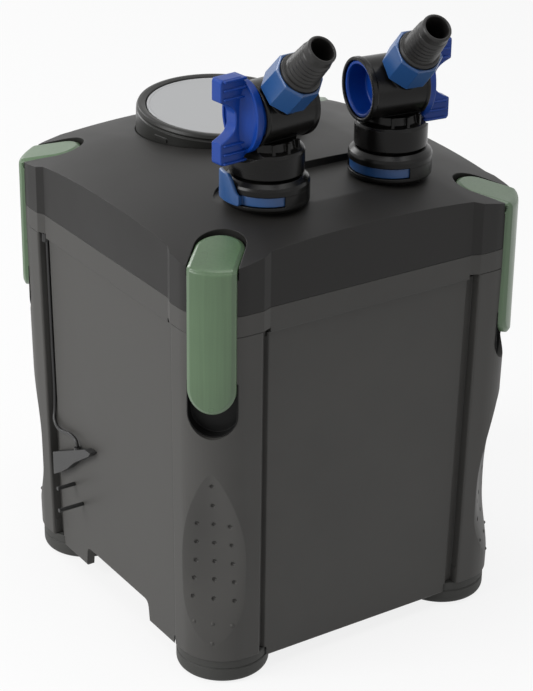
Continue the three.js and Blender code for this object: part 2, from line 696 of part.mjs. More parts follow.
function headBaseSolid() {
  const outline = plan(HALF_X, HALF_Y, SKIRT_RECESS, SKIRT_STEP, 0);
  const band = raised(outline, BAND_Z0, BAND_Z1);
  const halves = [CAVITY_HALF_X - PLUG_CLEARANCE, CAVITY_HALF_Y - PLUG_CLEARANCE];
  const insert = raised(rounded(...halves, CAVITY_R - 1), BAND_Z0 - PLUG_DEPTH, BAND_Z0 + 1);
  const room = raised(
    rounded(halves[0] - 5, halves[1] - 5, CAVITY_R - 5), BAND_Z0 - PLUG_DEPTH - 1, PLATE_Z0,
  );
  const dry = raised(headRoom(), PLATE_Z0 + PLATE_T, BAND_Z1 + 1);
  const lips = [];
  const [ox, oy] = [HALF_X - SKIRT_RECESS, HALF_Y - SKIRT_RECESS];
  const [rx, ry] = [HALF_X - POST - SKIRT_STEP - GAP, HALF_Y - POST - SKIRT_STEP - GAP];
  for (const s of [-1, 1]) {
    lips.push(slab(s * (ox - BAND_LIP_T), s * ox, -ry, ry, BAND_Z0 - BAND_LIP, BAND_Z0 + 1));
    lips.push(slab(-rx, rx, s * (oy - BAND_LIP_T), s * oy, BAND_Z0 - BAND_LIP, BAND_Z0 + 1));
  }
  const groove = cut(
    raised(rounded(halves[0] + 1, halves[1] + 1, CAVITY_R), GASKET_Z - GASKET_R, GASKET_Z + GASKET_R),
    raised(rounded(halves[0] - GASKET_R, halves[1] - GASKET_R, CAVITY_R - GASKET_R), 0, CROWN_Z),
  );
  let base = cut(join(band, insert, ...lips), room, dry, groove);
  for (const side of [-1, 1]) {
    const here = moved(side * TAP_X, TAP_Y, 0);
    base = join(base, rod(SPIGOT_R + 4, PLATE_Z0, PORT_TOP_Z, SEGMENTS, here));
    base = cut(base, rod(SPIGOT_R + BOSS_CLEAR, PLATE_Z0 + 3, PORT_TOP_Z + 1, SEGMENTS, here));
    const bore = side < 0 ? INLET_R + BOSS_CLEAR : NECK_BORE_R;
    base = cut(base, rod(bore, PLATE_Z0 - 9, PLATE_Z0 + 9, SEGMENTS, here));
  }
  const pump = moved(0, PUMP_Y, 0);
  base = cut(base, rod(MAGNET_R + 2, PLATE_Z0 - 1, BAND_Z1, SMALL_SEGMENTS, pump));
  for (const [, sx, sy] of CORNERS) {
    const clear = box(
      LATCH_FLOOR_U, CORNER_R + 9, -POCKET_HALF, POCKET_HALF, 0, CROWN_Z, cornerFrame(sx, sy),
    );
    base = cut(base, clear);
  }
  return base;
}

const GASKET_Z = BAND_Z0 - PLUG_DEPTH / 2 - 1;
const PORT_TOP_Z = SHELF_Z - SHELF_T - GAP;

function gasketSolid() {
  const halves = [CAVITY_HALF_X - PLUG_CLEARANCE, CAVITY_HALF_Y - PLUG_CLEARANCE];
  const [inner, outer] = [GASKET_R - GAP, PLUG_CLEARANCE / 2];
  const half = GASKET_R - GAP;
  return cut(
    raised(rounded(halves[0] + outer, halves[1] + outer, CAVITY_R), GASKET_Z - half, GASKET_Z + half),
    raised(rounded(halves[0] - inner, halves[1] - inner, CAVITY_R - inner), 0, CROWN_Z),
  );
}

// ---------------------------------------------------------------- priming button
// Heights here are measured from the bezel's top.
const BUTTON_TOP = -DISC_T - GAP - 1;
const BEZEL_FLOOR_TOP = -BEZEL_H + BEZEL_FLOOR_T;
const PISTON_Z0 = BEZEL_FLOOR_TOP + 0.5 + BUTTON_TRAVEL; // underside of the piston at rest
const PISTON_Z1 = PISTON_Z0 + PISTON_T;

function bezelSolid() {
  const inner = DISC_R + GAP * 2;
  const shell = turned([
    [inner - 1, -BEZEL_H], [BEZEL_R, -BEZEL_H], [BEZEL_R, -2], [BEZEL_R - 1, -0.6],
    [BEZEL_R - 2.4, 0], [inner, -0.4], [inner, BEZEL_FLOOR_TOP], [inner - 1, BEZEL_FLOOR_TOP],
  ], LARGE_SEGMENTS);
  const floor = ring(inner, STEM_R - 2, -BEZEL_H, BEZEL_FLOOR_TOP, LARGE_SEGMENTS);
  const cupTop = BUTTON_TOP - BUTTON_T - BUTTON_TRAVEL - 1;
  const cup = ring(PISTON_R + RUN + 2, PISTON_R + RUN, -BEZEL_H, cupTop);
  return join(shell, floor, cup);
}

function buttonSolid() {
  const r = DISC_R - GAP;
  const stem = rod(STEM_R, PISTON_Z1 + GAP, BUTTON_TOP, SMALL_SEGMENTS);
  return join(
    turned([
      [0, BUTTON_TOP - BUTTON_T], [r - 3, BUTTON_TOP - BUTTON_T], [r - 3, BUTTON_TOP - BUTTON_SKIRT],
      [r, BUTTON_TOP - BUTTON_SKIRT], [r, BUTTON_TOP], [0, BUTTON_TOP],
    ], LARGE_SEGMENTS),
    stem,
  );
}

function pistonSolid() {
  const [low, high] = [PISTON_Z0 + PISTON_RIM, PISTON_Z1 - PISTON_RIM];
  return turned([
    [0, PISTON_Z0], [PISTON_R, PISTON_Z0], [PISTON_R, low], [PISTON_R - 2, low],
    [PISTON_R - 2, high], [PISTON_R, high], [PISTON_R, PISTON_Z1], [0, PISTON_Z1],
  ]);
}

function pistonSealSolid() {
  const [low, high] = [PISTON_Z0 + PISTON_RIM + GAP, PISTON_Z1 - PISTON_RIM - GAP];
  return ring(PISTON_R + RUN / 2, PISTON_R - 2 + GAP, low, high);
}

class Helix extends THREE.Curve {
  constructor(r, z0, z1, turns) {
    super();
    Object.assign(this, { r, z0, z1, turns });
  }
  getPoint(t, target = new THREE.Vector3()) {
    const angle = 2 * Math.PI * this.turns * t;
    const z = this.z0 + (this.z1 - this.z0) * t;
    return target.set(this.r * Math.cos(angle), this.r * Math.sin(angle), z);
  }
}

// ---------------------------------------------------------------- taps
const COLLAR_Z0 = SHELF_Z + GAP;
const COLLAR_Z1 = COLLAR_Z0 + COLLAR_H;
const RING_Z0 = COLLAR_Z0 + WINDOW_Z + GAP;
const RING_Z1 = RING_Z0 + WINDOW_H - 2 * GAP;
const RING_OUT = COLLAR_R - 1.2;
const TAB_R = COLLAR_R + RUN + LEVER_TAB_T;

// A wedge of a circle about Z, from one angle to another in degrees.
function wedge(r, from, to, z0, z1) {
  const points = [[0, 0]];
  const steps = Math.ceil((to - from) / 10);
  for (let i = 0; i <= steps; i++) {
    const angle = rad(from + ((to - from) * i) / steps);
    points.push([r * Math.cos(angle), r * Math.sin(angle)]);
  }
  return raised(points, z0, z1);
}

function collarSolid() {
  const inner = NECK_R - 6;
  const body = turned([
    [inner, COLLAR_Z0], [COLLAR_FOOT_R, COLLAR_Z0], [COLLAR_R, COLLAR_Z0 + 2],
    [COLLAR_R, COLLAR_Z1 - 4], [COLLAR_R - 2.5, COLLAR_Z1], [inner, COLLAR_Z1],
  ], LARGE_SEGMENTS);
  const core = inner + COLLAR_WALL - RUN;
  const [z0, z1] = [RING_Z0 - GAP, RING_Z1 + GAP];
  const hidden = ring(RING_OUT + RUN, core, z0, z1, LARGE_SEGMENTS);
  const windows = join(
    wedge(COLLAR_R + 9, WINDOW_FROM, WINDOW_TO, z0, z1),
    wedge(COLLAR_R + 9, REAR_WINDOW_FROM, REAR_WINDOW_TO, z0, z1),
  );
  return cut(body, hidden, cut(windows, rod(core + 1, z0 - 1, z1 + 1, LARGE_SEGMENTS)));
}

// The release lever: a ring in the collar with an upright tab outside it.
function lockRingSolid(from) {
  const inner = NECK_R - 6 + COLLAR_WALL;
  const band = ring(RING_OUT, inner, RING_Z0, RING_Z1, LARGE_SEGMENTS);
  const low = cut(
    wedge(TAB_R, from, from + LEVER_TAB_ARC, RING_Z0, RING_Z1),
    rod(inner + 1, RING_Z0 - 1, RING_Z1 + 1, SEGMENTS),
  );
  const upright = cut(
    wedge(TAB_R, from, from + LEVER_TAB_ARC, RING_Z0, RING_Z0 + LEVER_TAB_H),
    rod(COLLAR_R + RUN, RING_Z0 - 1, RING_Z0 + LEVER_TAB_H + 1, LARGE_SEGMENTS),
  );
  return join(band, low, upright);
}

// Turns Z to the hose tail's direction, from the barrel's axis.
function tailFrame() {
  const frame = new THREE.Matrix4().makeRotationX(rad(90 - TAIL_ANGLE));
  return moved(0, 0, BARREL_Z).multiply(frame);
}

// Turns Z to the outward end of a valve barrel.
function barrelFrame(side) {
  const frame = new THREE.Matrix4().makeRotationY((side * Math.PI) / 2);
  return moved(0, 0, BARREL_Z).multiply(frame);
}

function tapBodySolid(side) {
  const along = barrelFrame(side);
  const up = tailFrame();
  const neck = turned([
    [0, COLLAR_Z1 + GAP], [NECK_R - 2, COLLAR_Z1 + GAP], [NECK_R, COLLAR_Z1 + 2],
    [NECK_R, BARREL_Z - BARREL_R - 2], [NECK_R - 3, BARREL_Z - BARREL_R + 1], [0, BARREL_Z - BARREL_R + 1],
  ]);
  const spigot = rod(SPIGOT_R, SHELF_Z - SPIGOT_DEPTH, COLLAR_Z1 + 1, SEGMENTS);
  const throat = rod(SPIGOT_R, COLLAR_Z1, BARREL_Z, SEGMENTS);
  const barrel = turned([
    [0, -BARREL_IN], [BARREL_R, -BARREL_IN], [BARREL_R, -BARREL_IN + 3],
    [BARREL_R - 0.7, -BARREL_IN + 4], [BARREL_R - 0.7, BARREL_OUT - 3],
    [BARREL_R, BARREL_OUT - 2], [BARREL_R, BARREL_OUT], [0, BARREL_OUT],
  ], SEGMENTS, along);
  const boss = rod(BOSS_R, 0, BOSS_END, SEGMENTS, up);
  const chamber = rod(PLUG_R + RUN, -BARREL_IN - 1, BARREL_OUT + 1, SEGMENTS, along);
  const swept = Math.hypot(BLADE_HALF, BLADE_T / 2 + HANDLE_RIB_H) + RUN;
  const sweep = rod(swept, BARREL_OUT, NECK_R + 1, SEGMENTS, along);
  const rise = rod(NECK_BORE_R, SHELF_Z - SPIGOT_DEPTH - 1, BARREL_Z, SMALL_SEGMENTS);
  const outlet = rod(TAIL_BORE_R, 0, BOSS_END + 1, SMALL_SEGMENTS, up);
  const sealGroove = ring(SPIGOT_R + 1, SPIGOT_R - 2, SEAL_Z0, SEAL_Z1, SEGMENTS);
  const body = join(cut(neck, sweep), spigot, throat, barrel, boss);
  return cut(body, chamber, rise, outlet, sealGroove);
}

const SEAL_Z0 = SHELF_Z - SPIGOT_DEPTH + 5;
const SEAL_Z1 = SEAL_Z0 + 3.4;

function spigotSealSolid() {
  const [outer, inner] = [SPIGOT_R + BOSS_CLEAR - GAP, SPIGOT_R - 2 + GAP];
  return ring(outer, inner, SEAL_Z0 + GAP, SEAL_Z1 - GAP, SEGMENTS);
}

// The turning plug: a cup at its inner end, a passage, and the handle outside.
function valvePlugSolid() {
  const inEnd = -BARREL_IN + 1.2;
  const face = BARREL_OUT + RUN;
  const top = face + HANDLE_PLATE_T;
  const core = rod(PLUG_R, inEnd, face + 1, SEGMENTS);
  const cup = rod(CUP_R, inEnd - 1, inEnd + CUP_DEPTH, SEGMENTS);
  const plate = turned([
    [0, face], [HANDLE_HIGH, face], [HANDLE_HIGH, top + 1.5],
    [HANDLE_HIGH - HANDLE_RIM_T, top + 1.5], [HANDLE_HIGH - HANDLE_RIM_T, top], [0, top],
  ], LARGE_SEGMENTS, new THREE.Matrix4().makeScale(1, HANDLE_WIDE / HANDLE_HIGH, 1));
  const [root, waist, tip] = [top - 0.5, top + BLADE_WAIST, top + BLADE_REACH];
  const high = BLADE_HALF;
  // The blade in [height, reach]: two horns with a round notch between them.
  const outline = [[HANDLE_HIGH - 1, root], [high, root + 4], [high, tip - 2], [high - 1.5, tip]];
  for (let i = 0; i <= 12; i++) {
    const t = 1 - i / 6;
    outline.push([NOTCH_HALF * t, waist + (tip - waist) * Math.pow(Math.abs(t), 3)]);
  }
  outline.push([1.5 - high, tip], [-high, tip - 2], [-high, root + 4], [1 - HANDLE_HIGH, root]);
  const upright = new THREE.Matrix4().makeRotationZ(Math.PI / 2).multiply(UPRIGHT);
  let blade = raised(outline, -BLADE_T / 2, BLADE_T / 2, upright);
  const side = BLADE_T / 2 + HANDLE_RIB_H;
  for (const s of [-1, 1])
    for (let i = 0; i < 3; i++) {
      const h = s * (high - 1.2 - i * 5.4);
      blade = join(blade, box(h - 0.9, h + 0.9, -side, side, root + 4, tip - 3));
    }
  return cut(join(core, plate, blade), cup);
}

// The plug in its rest position, placed on the barrel's axis.
function placedPlug(side) {
  const placed = solidAt(valvePlugSolid, barrelFrame(side));
  const down = rod(NECK_BORE_R - 1, BARREL_Z - PLUG_R - 2, BARREL_Z, SMALL_SEGMENTS);
  const out = rod(TAIL_BORE_R, 0, PLUG_R + 2, SMALL_SEGMENTS, tailFrame());
  return cut(placed, down, out);
}

function nutSolid() {
  const flat = NUT_FLATS / 2;
  const eight = flat / Math.cos(Math.PI / 8);
  const turnHalf = new THREE.Matrix4().makeRotationZ(Math.PI / 8);
  const end = NUT_START + NUT_LENGTH;
  const body = turned([
    [0, NUT_START], [eight, NUT_START], [eight, end - NUT_CHAMFER],
    [eight - NUT_CHAMFER, end], [0, end],
  ], 8, turnHalf);
  const mouth = rod(TAIL_FLANGE_R + RUN, end - TAIL_FLANGE_T - GAP, end + 1, SEGMENTS);
  return cut(body, rod(BOSS_R + RUN, NUT_START - 1, end - TAIL_FLANGE_T, SEGMENTS), mouth);
}

function hoseTailSolid() {
  const z0 = NUT_START + NUT_LENGTH - TAIL_FLANGE_T;
  const z1 = z0 + TAIL_FLANGE_T + 2.5;
  const lip = TAIL_END - TAIL_LIP;
  return turned([
    [TAIL_BORE_R, BOSS_END + GAP], [BOSS_R - 3, BOSS_END + GAP], [BOSS_R - 3, z0],
    [TAIL_FLANGE_R, z0], [TAIL_FLANGE_R, z1 - 1], [TAIL_FLANGE_R - 1, z1], [TAIL_BASE_R, z1],
    [TAIL_TIP_R + 0.6, lip - 0.4], [TAIL_TIP_R, lip], [TAIL_TIP_R, TAIL_END - 1],
    [TAIL_TIP_R - 0.8, TAIL_END], [TAIL_BORE_R, TAIL_END],
  ]);
}

// ---------------------------------------------------------------- pump
const VOLUTE_Z1 = PLATE_Z0 - GAP;
const VANE_Z1 = VOLUTE_Z1 - 1;
const VANE_Z0 = VANE_Z1 - VANE_H;
const COVER_Z0 = VANE_Z0 - 1 - COVER_T;
const MOTOR_Z0 = PLATE_Z0 + PLATE_T + GAP;
const MAGNET_Z1 = VANE_Z1 + MAGNET_H;

function motorSolid() {
  const body = turned([
    [0, MOTOR_Z0], [MOTOR_R, MOTOR_Z0], [MOTOR_R, MOTOR_TOP_Z - 4],
    [MOTOR_R - 4, MOTOR_TOP_Z], [0, MOTOR_TOP_Z],
  ]);
  return cut(body, rod(MAGNET_R + RUN * 2, MOTOR_Z0 - 1, MAGNET_Z1 + 1.5, SMALL_SEGMENTS),
    rod(SHAFT_R + GAP, MOTOR_Z0, MAGNET_Z1 + 5, 12));
}

function impellerSolid() {
  let impeller = join(
    rod(MAGNET_R, VANE_Z1, MAGNET_Z1, SMALL_SEGMENTS),
    rod(VANE_R - 6, VANE_Z1 - 1.5, VANE_Z1, SMALL_SEGMENTS),
    rod(SHAFT_R + 3, VANE_Z0, VANE_Z1, SMALL_SEGMENTS),
  );
  for (let i = 0; i < VANES; i++) {
    const spin = new THREE.Matrix4().makeRotationZ((i / VANES) * 2 * Math.PI);
    impeller = join(impeller, box(SHAFT_R + 2, VANE_R, -VANE_T / 2, VANE_T / 2, VANE_Z0, VANE_Z1, spin));
  }
  return cut(impeller, rod(SHAFT_R + RUN, VANE_Z0 - 1, MAGNET_Z1 + 1, 12));
}

function coverSolid() {
  const rim = ring(COVER_R, COVER_R - 3, COVER_Z0, VOLUTE_Z1, SEGMENTS);
  const disc = ring(COVER_R, 9, COVER_Z0, COVER_Z0 + COVER_T, SEGMENTS);
  const bridge = box(-9.5, 9.5, -2, 2, COVER_Z0, COVER_Z0 + COVER_T);
  return cut(join(rim, disc, bridge), rod(SHAFT_R + GAP, 0, COVER_Z0 + COVER_T + 1, 12));
}

// ---------------------------------------------------------------- baskets
const BASKET_HALF_X = CAVITY_HALF_X * shrink(FLOOR_Z + FLOOR_T) - BASKET_CLEARANCE;
const BASKET_HALF_Y = CAVITY_HALF_Y * shrink(FLOOR_Z + FLOOR_T) - BASKET_CLEARANCE;
const BASKET_R = CAVITY_R - 2;
const SLEEVE_R = INLET_R + 1.5;
const basketZ = (level) => FLOOR_Z + FLOOR_T + GAP + level * (BASKET_H + GAP);

function basketSolid(level) {
  const z = basketZ(level);
  const here = moved(-TAP_X, TAP_Y, 0);
  const outer = raised(rounded(BASKET_HALF_X, BASKET_HALF_Y, BASKET_R), z, z + BASKET_H);
  const inner = raised(
    rounded(BASKET_HALF_X - BASKET_WALL, BASKET_HALF_Y - BASKET_WALL, BASKET_R - BASKET_WALL),
    z + BASKET_WALL,
    z + BASKET_H + 1,
  );
  const sleeve = rod(SLEEVE_R + SLEEVE_WALL, z, z + BASKET_H, SMALL_SEGMENTS, here);
  let basket = join(cut(outer, inner), sleeve);
  basket = cut(basket, rod(SLEEVE_R, z - 1, z + BASKET_H + 1, SMALL_SEGMENTS, here));
  for (let i = -2; i <= 2; i++)
    basket = cut(basket, box(-70, 70, i * 24 + 20, i * 24 + 26, z - 1, z + BASKET_WALL + 1));
  return basket;
}

function mediaSolid(level) {
  const z = basketZ(level) + BASKET_WALL + GAP;
  const slack = BASKET_WALL + 1;
  const pad = raised(
    rounded(BASKET_HALF_X - slack, BASKET_HALF_Y - slack, BASKET_R - slack), z, z + MEDIA_H,
  );
  const hole = SLEEVE_R + SLEEVE_WALL + 1;
  return cut(pad, rod(hole, z - 1, z + MEDIA_H + 1, SMALL_SEGMENTS, moved(-TAP_X, TAP_Y, 0)));
}

// ---------------------------------------------------------------- lead
const GROOVE_Y = HALF_Y - POST - GROOVE_W / 2;
const GLAND_Z0 = SEAM_Z - GLAND_H;
// Outline of the clip on the left panel, in [y, z].
const CLIP_OUTLINE = [
  [73.8, 84.1], [50.8, 95.3], [29.8, 105.5], [21.7, 106.2], [24.5, 102.7],
  [34.3, 96.1], [44.2, 89.3], [54.4, 80.1], [63.2, 73.7], [73.5, 67.4],
];
const CLIP_TOP_Z = 106.2;
const CLIP_X = faceX(CLIP_TOP_Z) + GAP; // the clip's back face, from the middle plane
const CLIP_ENTRY = [43.7, 100.5]; // where the lead meets the clip's boss, in [y, z]
const LEAD_OUT_X = CLIP_X + CLIP_T / 2;
// The loop from the groove to the clip, in [share of the way out, y, z].
const LEAD_LOOP = [
  [0.25, 78.6, 113], [0.72, 76.6, 107.6], [0.95, 72.5, 104.2], [1, 66, 103.2], [1, 60, 104.4],
  [1, 54.5, 105.8], [1, 49.5, 105.9], [1, 45.2, 104.4], [1, 43.8, 102.2],
];
// Feet of the pegs on the left panel and their lengths, in [y, z, length].
const PEGS = [["upper", 54.6, 67.1, 13], ["lower", 44, 56.8, 18]];

function glandSolid() {
  const x = -grooveFloorX(SEAM_Z) - GAP - GLAND_R;
  const y = HALF_Y - POST - (GROOVE_W + NOTCH_SIDE) / 2;
  return rod(GLAND_R, GLAND_Z0, SEAM_Z - GAP, SMALL_SEGMENTS, moved(x, y, 0));
}

function leadSolid() {
  const inX = (z) => grooveFloorX(z) + 2 * GAP + LEAD_R;
  const points = [];
  for (const z of [GLAND_Z0 - GAP, 200, 160, 125])
    points.push(new THREE.Vector3(-inX(z), GROOVE_Y * shrink(z), z));
  for (const [out, y, z] of LEAD_LOOP)
    points.push(new THREE.Vector3(-THREE.MathUtils.lerp(inX(z), LEAD_OUT_X, out), y, z));
  const [endY, endZ] = CLIP_ENTRY;
  points.push(new THREE.Vector3(-LEAD_OUT_X, endY, endZ + 2 * GAP));
  return bar(new THREE.CatmullRomCurve3(points), LEAD_R, 34, 4);
}

function clipSolid() {
  const wedgeBody = raised(CLIP_OUTLINE, -CLIP_X - CLIP_T, -CLIP_X, UPRIGHT);
  const [y, z] = CLIP_ENTRY;
  return join(wedgeBody, rod(CLIP_BOSS_R, z - 6, z, SMALL_SEGMENTS, moved(-LEAD_OUT_X, y, 0)));
}

function pegSolid(y, z, length) {
  const outwards = new THREE.Matrix4().makeRotationY(-Math.PI / 2);
  const root = faceX(z) + GAP;
  return rod(PEG_R, root, root + length, SMALL_SEGMENTS, moved(0, y, z).multiply(outwards));
}

// ---------------------------------------------------------------- scene
const finish = (color, roughness, metalness = 0) =>
  new THREE.MeshStandardMaterial({ color, roughness, metalness });

function geometryOf(made) {
  const { vertProperties, triVerts, numProp } = made.getMesh();
  const positions = [];
  for (const v of triVerts) positions.push(...vertProperties.subarray(v * numProp, v * numProp + 3));
  const geometry = new THREE.BufferGeometry();
  geometry.setAttribute("position", new THREE.Float32BufferAttribute(positions, 3));
  geometry.computeVertexNormals();
  return geometry;
}

const filter = new THREE.Group();

function add(name, made, material, parent = filter) {
  const mesh = new THREE.Mesh(geometryOf(made), material);
  mesh.name = name;
  parent.add(mesh);
  return mesh;
}

function frameGroup(matrix, parent = filter) {
  const group = new THREE.Group();
  group.applyMatrix4(matrix);
  parent.add(group);
  return group;
}

const tub = tubSolid();
const middle = cut(tub, ...CORNERS.map(([, sx, sy]) => columnBlock(sx, sy, 0)));
add("container", middle, finish(0x4a4a48, 0.55));
for (const [name, sx, sy] of CORNERS) {
  const column = tub.intersect(columnBlock(sx, sy, GAP));
  add("column_" + name, column, finish(0x4a4a48, 0.55));
}
add("head_shell", headShellSolid(), finish(0x333230, 0.5));
add("head_base", headBaseSolid(), finish(0x5c5c5a, 0.55));
add("head_gasket", gasketSolid(), finish(0x181818, 0.8));

for (const [name, sx, sy] of CORNERS) {
  const corner = frameGroup(cornerFrame(sx, sy));
  add("latch_" + name, latchSolid(), finish(0x7c9a76, 0.5), corner);
  const pinLength = POCKET_HALF + PIN_GRIP;
  const across = moved(PIN_U, 0, PIN_Z).multiply(new THREE.Matrix4().makeRotationX(Math.PI / 2));
  const pin = rod(PIN_R, -pinLength, pinLength, SEGMENTS, across);
  add("latch_pin_" + name, pin, finish(0x9a9a98, 0.35, 1), corner);
  const foot = frameGroup(
    moved(sx * (HALF_X * shrink(0) - CORNER_R), sy * (HALF_Y * shrink(0) - CORNER_R), 0),
  );
  add("foot_" + name, footSolid(), finish(0x3c3c3a, 0.75), foot);
}

const primer = frameGroup(primerFrame());
add("primer_bezel", bezelSolid(), finish(0x3a3a39, 0.45), primer);
add("primer_button", buttonSolid(), finish(0x2d2d2d, 0.5), primer);
const discZ = BUTTON_TOP + GAP;
const disc = rod(DISC_R, discZ, discZ + DISC_T, LARGE_SEGMENTS);
add("primer_disc", disc, finish(0xa9abad, 0.3, 0.8), primer);
add("primer_piston", pistonSolid(), finish(0x2d2d2d, 0.5), primer);
add("primer_seal", pistonSealSolid(), finish(0x181818, 0.8), primer);
const spring = new Helix(
  SPRING_R,
  BEZEL_FLOOR_TOP + SPRING_WIRE + GAP,
  BUTTON_TOP - BUTTON_T - SPRING_WIRE - GAP,
  SPRING_TURNS,
);
add("primer_spring", bar(spring, SPRING_WIRE, SPRING_TURNS * 10, 3), finish(0x9a9a98, 0.3, 1), primer);

for (const [name, side] of [["left", -1], ["right", 1]]) {
  const tap = frameGroup(moved(side * TAP_X, TAP_Y, 0));
  add("tap_collar_" + name, collarSolid(), finish(0x161616, 0.3), tap);
  const from = side < 0 ? LEVER_LEFT_FROM : LEVER_RIGHT_FROM;
  add("lock_ring_" + name, lockRingSolid(from), finish(0x3f77ad, 0.4), tap);
  const body = frameGroup(new THREE.Matrix4().makeRotationZ(rad(-side * TAP_TURN)), tap);
  add("tap_body_" + name, tapBodySolid(side), finish(0x161616, 0.35), body);
  add("valve_plug_" + name, placedPlug(side), finish(0x1f5fc8, 0.35), body);
  add("spigot_seal_" + name, spigotSealSolid(), finish(0x181818, 0.8), body);
  const tail = frameGroup(tailFrame(), body);
  add("hose_nut_" + name, nutSolid(), finish(0x3f77ad, 0.4), tail);
  add("hose_tail_" + name, hoseTailSolid(), finish(0x1a1a1a, 0.45), tail);
}

const pump = frameGroup(moved(0, PUMP_Y, 0));
add("motor_housing", motorSolid(), finish(0x202020, 0.6), pump);
add("impeller", impellerSolid(), finish(0x27487a, 0.4), pump);
add("impeller_shaft", rod(SHAFT_R, COVER_Z0 + 0.2, MAGNET_Z1 + 4.5, 12), finish(0xe8e4da, 0.3), pump);
add("impeller_cover", coverSolid(), finish(0x2b2b2b, 0.5), pump);

const inlet = frameGroup(moved(-TAP_X, TAP_Y, 0));
const inletTube = ring(INLET_R, INLET_R - INLET_WALL, INLET_END_Z, PLATE_Z0 + 2, SMALL_SEGMENTS);
add("inlet_tube", inletTube, finish(0x2b2b2b, 0.5), inlet);
const media = [["lower", 0x30343a], ["middle", 0xd8cfc0], ["upper", 0xe6e9ea]];
for (let level = 0; level < BASKETS; level++) {
  const [name, color] = media[level];
  add("basket_" + name, basketSolid(level), finish(0x3a3a3a, 0.55));
  add("media_" + name, mediaSolid(level), finish(color, 0.95));
}

add("lead_gland", glandSolid(), finish(0x161616, 0.5));
add("lead", leadSolid(), finish(0x141414, 0.55));
add("lead_clip", clipSolid(), finish(0x222222, 0.5));
for (const [name, y, z, length] of PEGS)
  add("lead_peg_" + name, pegSolid(y, z, length), finish(0x161616, 0.5));

export default filter;
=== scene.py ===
"""Looks of a canister filter: tub, head, corner latches, primer and swivel taps.

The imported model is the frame. Shapes are worked out in millimetres with numpy and put
into meshes in metres, in the frame of the part: +Z up, the front is -Y, left is -X.
"""

import json
import logging
import math
from dataclasses import dataclass, field
from enum import Enum
from functools import reduce
from typing import Optional, Sequence, Union

import bmesh
import bpy
import numpy as np
from mathutils import Matrix, Vector

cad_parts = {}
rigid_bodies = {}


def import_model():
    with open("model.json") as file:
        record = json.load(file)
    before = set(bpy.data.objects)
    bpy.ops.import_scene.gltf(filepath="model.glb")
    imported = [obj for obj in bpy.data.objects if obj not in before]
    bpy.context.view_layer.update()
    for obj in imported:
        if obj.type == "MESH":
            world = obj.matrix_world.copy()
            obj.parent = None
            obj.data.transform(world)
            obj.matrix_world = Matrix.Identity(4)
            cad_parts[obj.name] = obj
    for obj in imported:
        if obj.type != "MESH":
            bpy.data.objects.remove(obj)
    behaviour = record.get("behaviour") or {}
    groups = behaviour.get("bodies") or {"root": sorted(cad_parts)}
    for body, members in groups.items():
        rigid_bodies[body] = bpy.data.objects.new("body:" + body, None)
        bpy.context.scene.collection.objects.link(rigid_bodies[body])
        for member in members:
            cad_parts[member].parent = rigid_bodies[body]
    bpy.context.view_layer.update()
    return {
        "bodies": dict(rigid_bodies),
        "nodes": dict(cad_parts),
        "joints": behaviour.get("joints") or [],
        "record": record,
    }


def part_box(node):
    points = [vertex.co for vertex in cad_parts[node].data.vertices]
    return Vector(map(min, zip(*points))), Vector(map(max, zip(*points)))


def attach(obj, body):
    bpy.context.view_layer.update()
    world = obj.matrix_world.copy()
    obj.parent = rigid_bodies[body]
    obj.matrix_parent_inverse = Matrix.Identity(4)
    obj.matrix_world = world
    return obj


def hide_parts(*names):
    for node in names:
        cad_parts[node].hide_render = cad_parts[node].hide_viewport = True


MM = 0.001
GAP = 0.3  # clearance between neighbouring pieces, in millimetres
# Ends of cutters, in millimetres: past the sides, above the head, and past a corner's face.
FAR, HIGH, PAST = 140, 320, 45
log = logging.getLogger("canister_filter")

Points = np.ndarray
Socket = bpy.types.NodeSocket
Profile = Sequence[tuple[float, float]]
Rows = Sequence[tuple[float, Sequence[float]]]


# ------------------------------------------------------------------ frames
def at(x: float, y: float, z: float) -> Matrix:
    """Returns the matrix of a shift in millimetres."""
    return Matrix.Translation((x, y, z))


def turned(degrees: float, axis: str) -> Matrix:
    """Returns the matrix of a turn about a main axis."""
    return Matrix.Rotation(math.radians(degrees), 4, axis)


# An outline's x and y become width and height, and it is raised outwards.
UPRIGHT = Matrix(((0, 0, 1, 0), (1, 0, 0, 0), (0, 1, 0, 0), (0, 0, 0, 1)))
# An outline's x and y become outwards and height, and it is raised along the width.
SIDEWAYS = Matrix(((1, 0, 0, 0), (0, 0, -1, 0), (0, 1, 0, 0), (0, 0, 0, 1)))


# ------------------------------------------------------------------ closed shapes
@dataclass
class Shape:
    """A closed surface: points in millimetres and faces as rows of point numbers."""

    points: Points
    faces: list[tuple[int, ...]]

    def placed(self, matrix: Matrix) -> "Shape":
        """Returns the shape moved by a matrix."""
        m = np.array(matrix)
        return Shape(self.points @ m[:3, :3].T + m[:3, 3], self.faces)

    def __add__(self, other: "Shape") -> "Shape":
        """Returns both surfaces as one.

        Args:
            other: The second surface.

        Returns:
            One shape with both.
        """
        shift = len(self.points)
        more = [tuple(i + shift for i in face) for face in other.faces]
        return Shape(np.vstack([self.points, other.points]), self.faces + more)

    def mesh(self, name: str) -> bpy.types.Mesh:
        """Returns a mesh in metres with merged points and faces turned outwards.

        Args:
            name: The mesh's name.

        Returns:
            The mesh.
        """
        mesh = bpy.data.meshes.new(name)
        mesh.from_pydata((self.points * MM).tolist(), [], self.faces)
        work = bmesh.new()
        work.from_mesh(mesh)
        bmesh.ops.remove_doubles(work, verts=work.verts, dist=2e-6)
        bmesh.ops.dissolve_degenerate(work, edges=work.edges, dist=1e-6)
        bmesh.ops.recalc_face_normals(work, faces=work.faces)
        work.to_mesh(mesh)
        work.free()
        return mesh


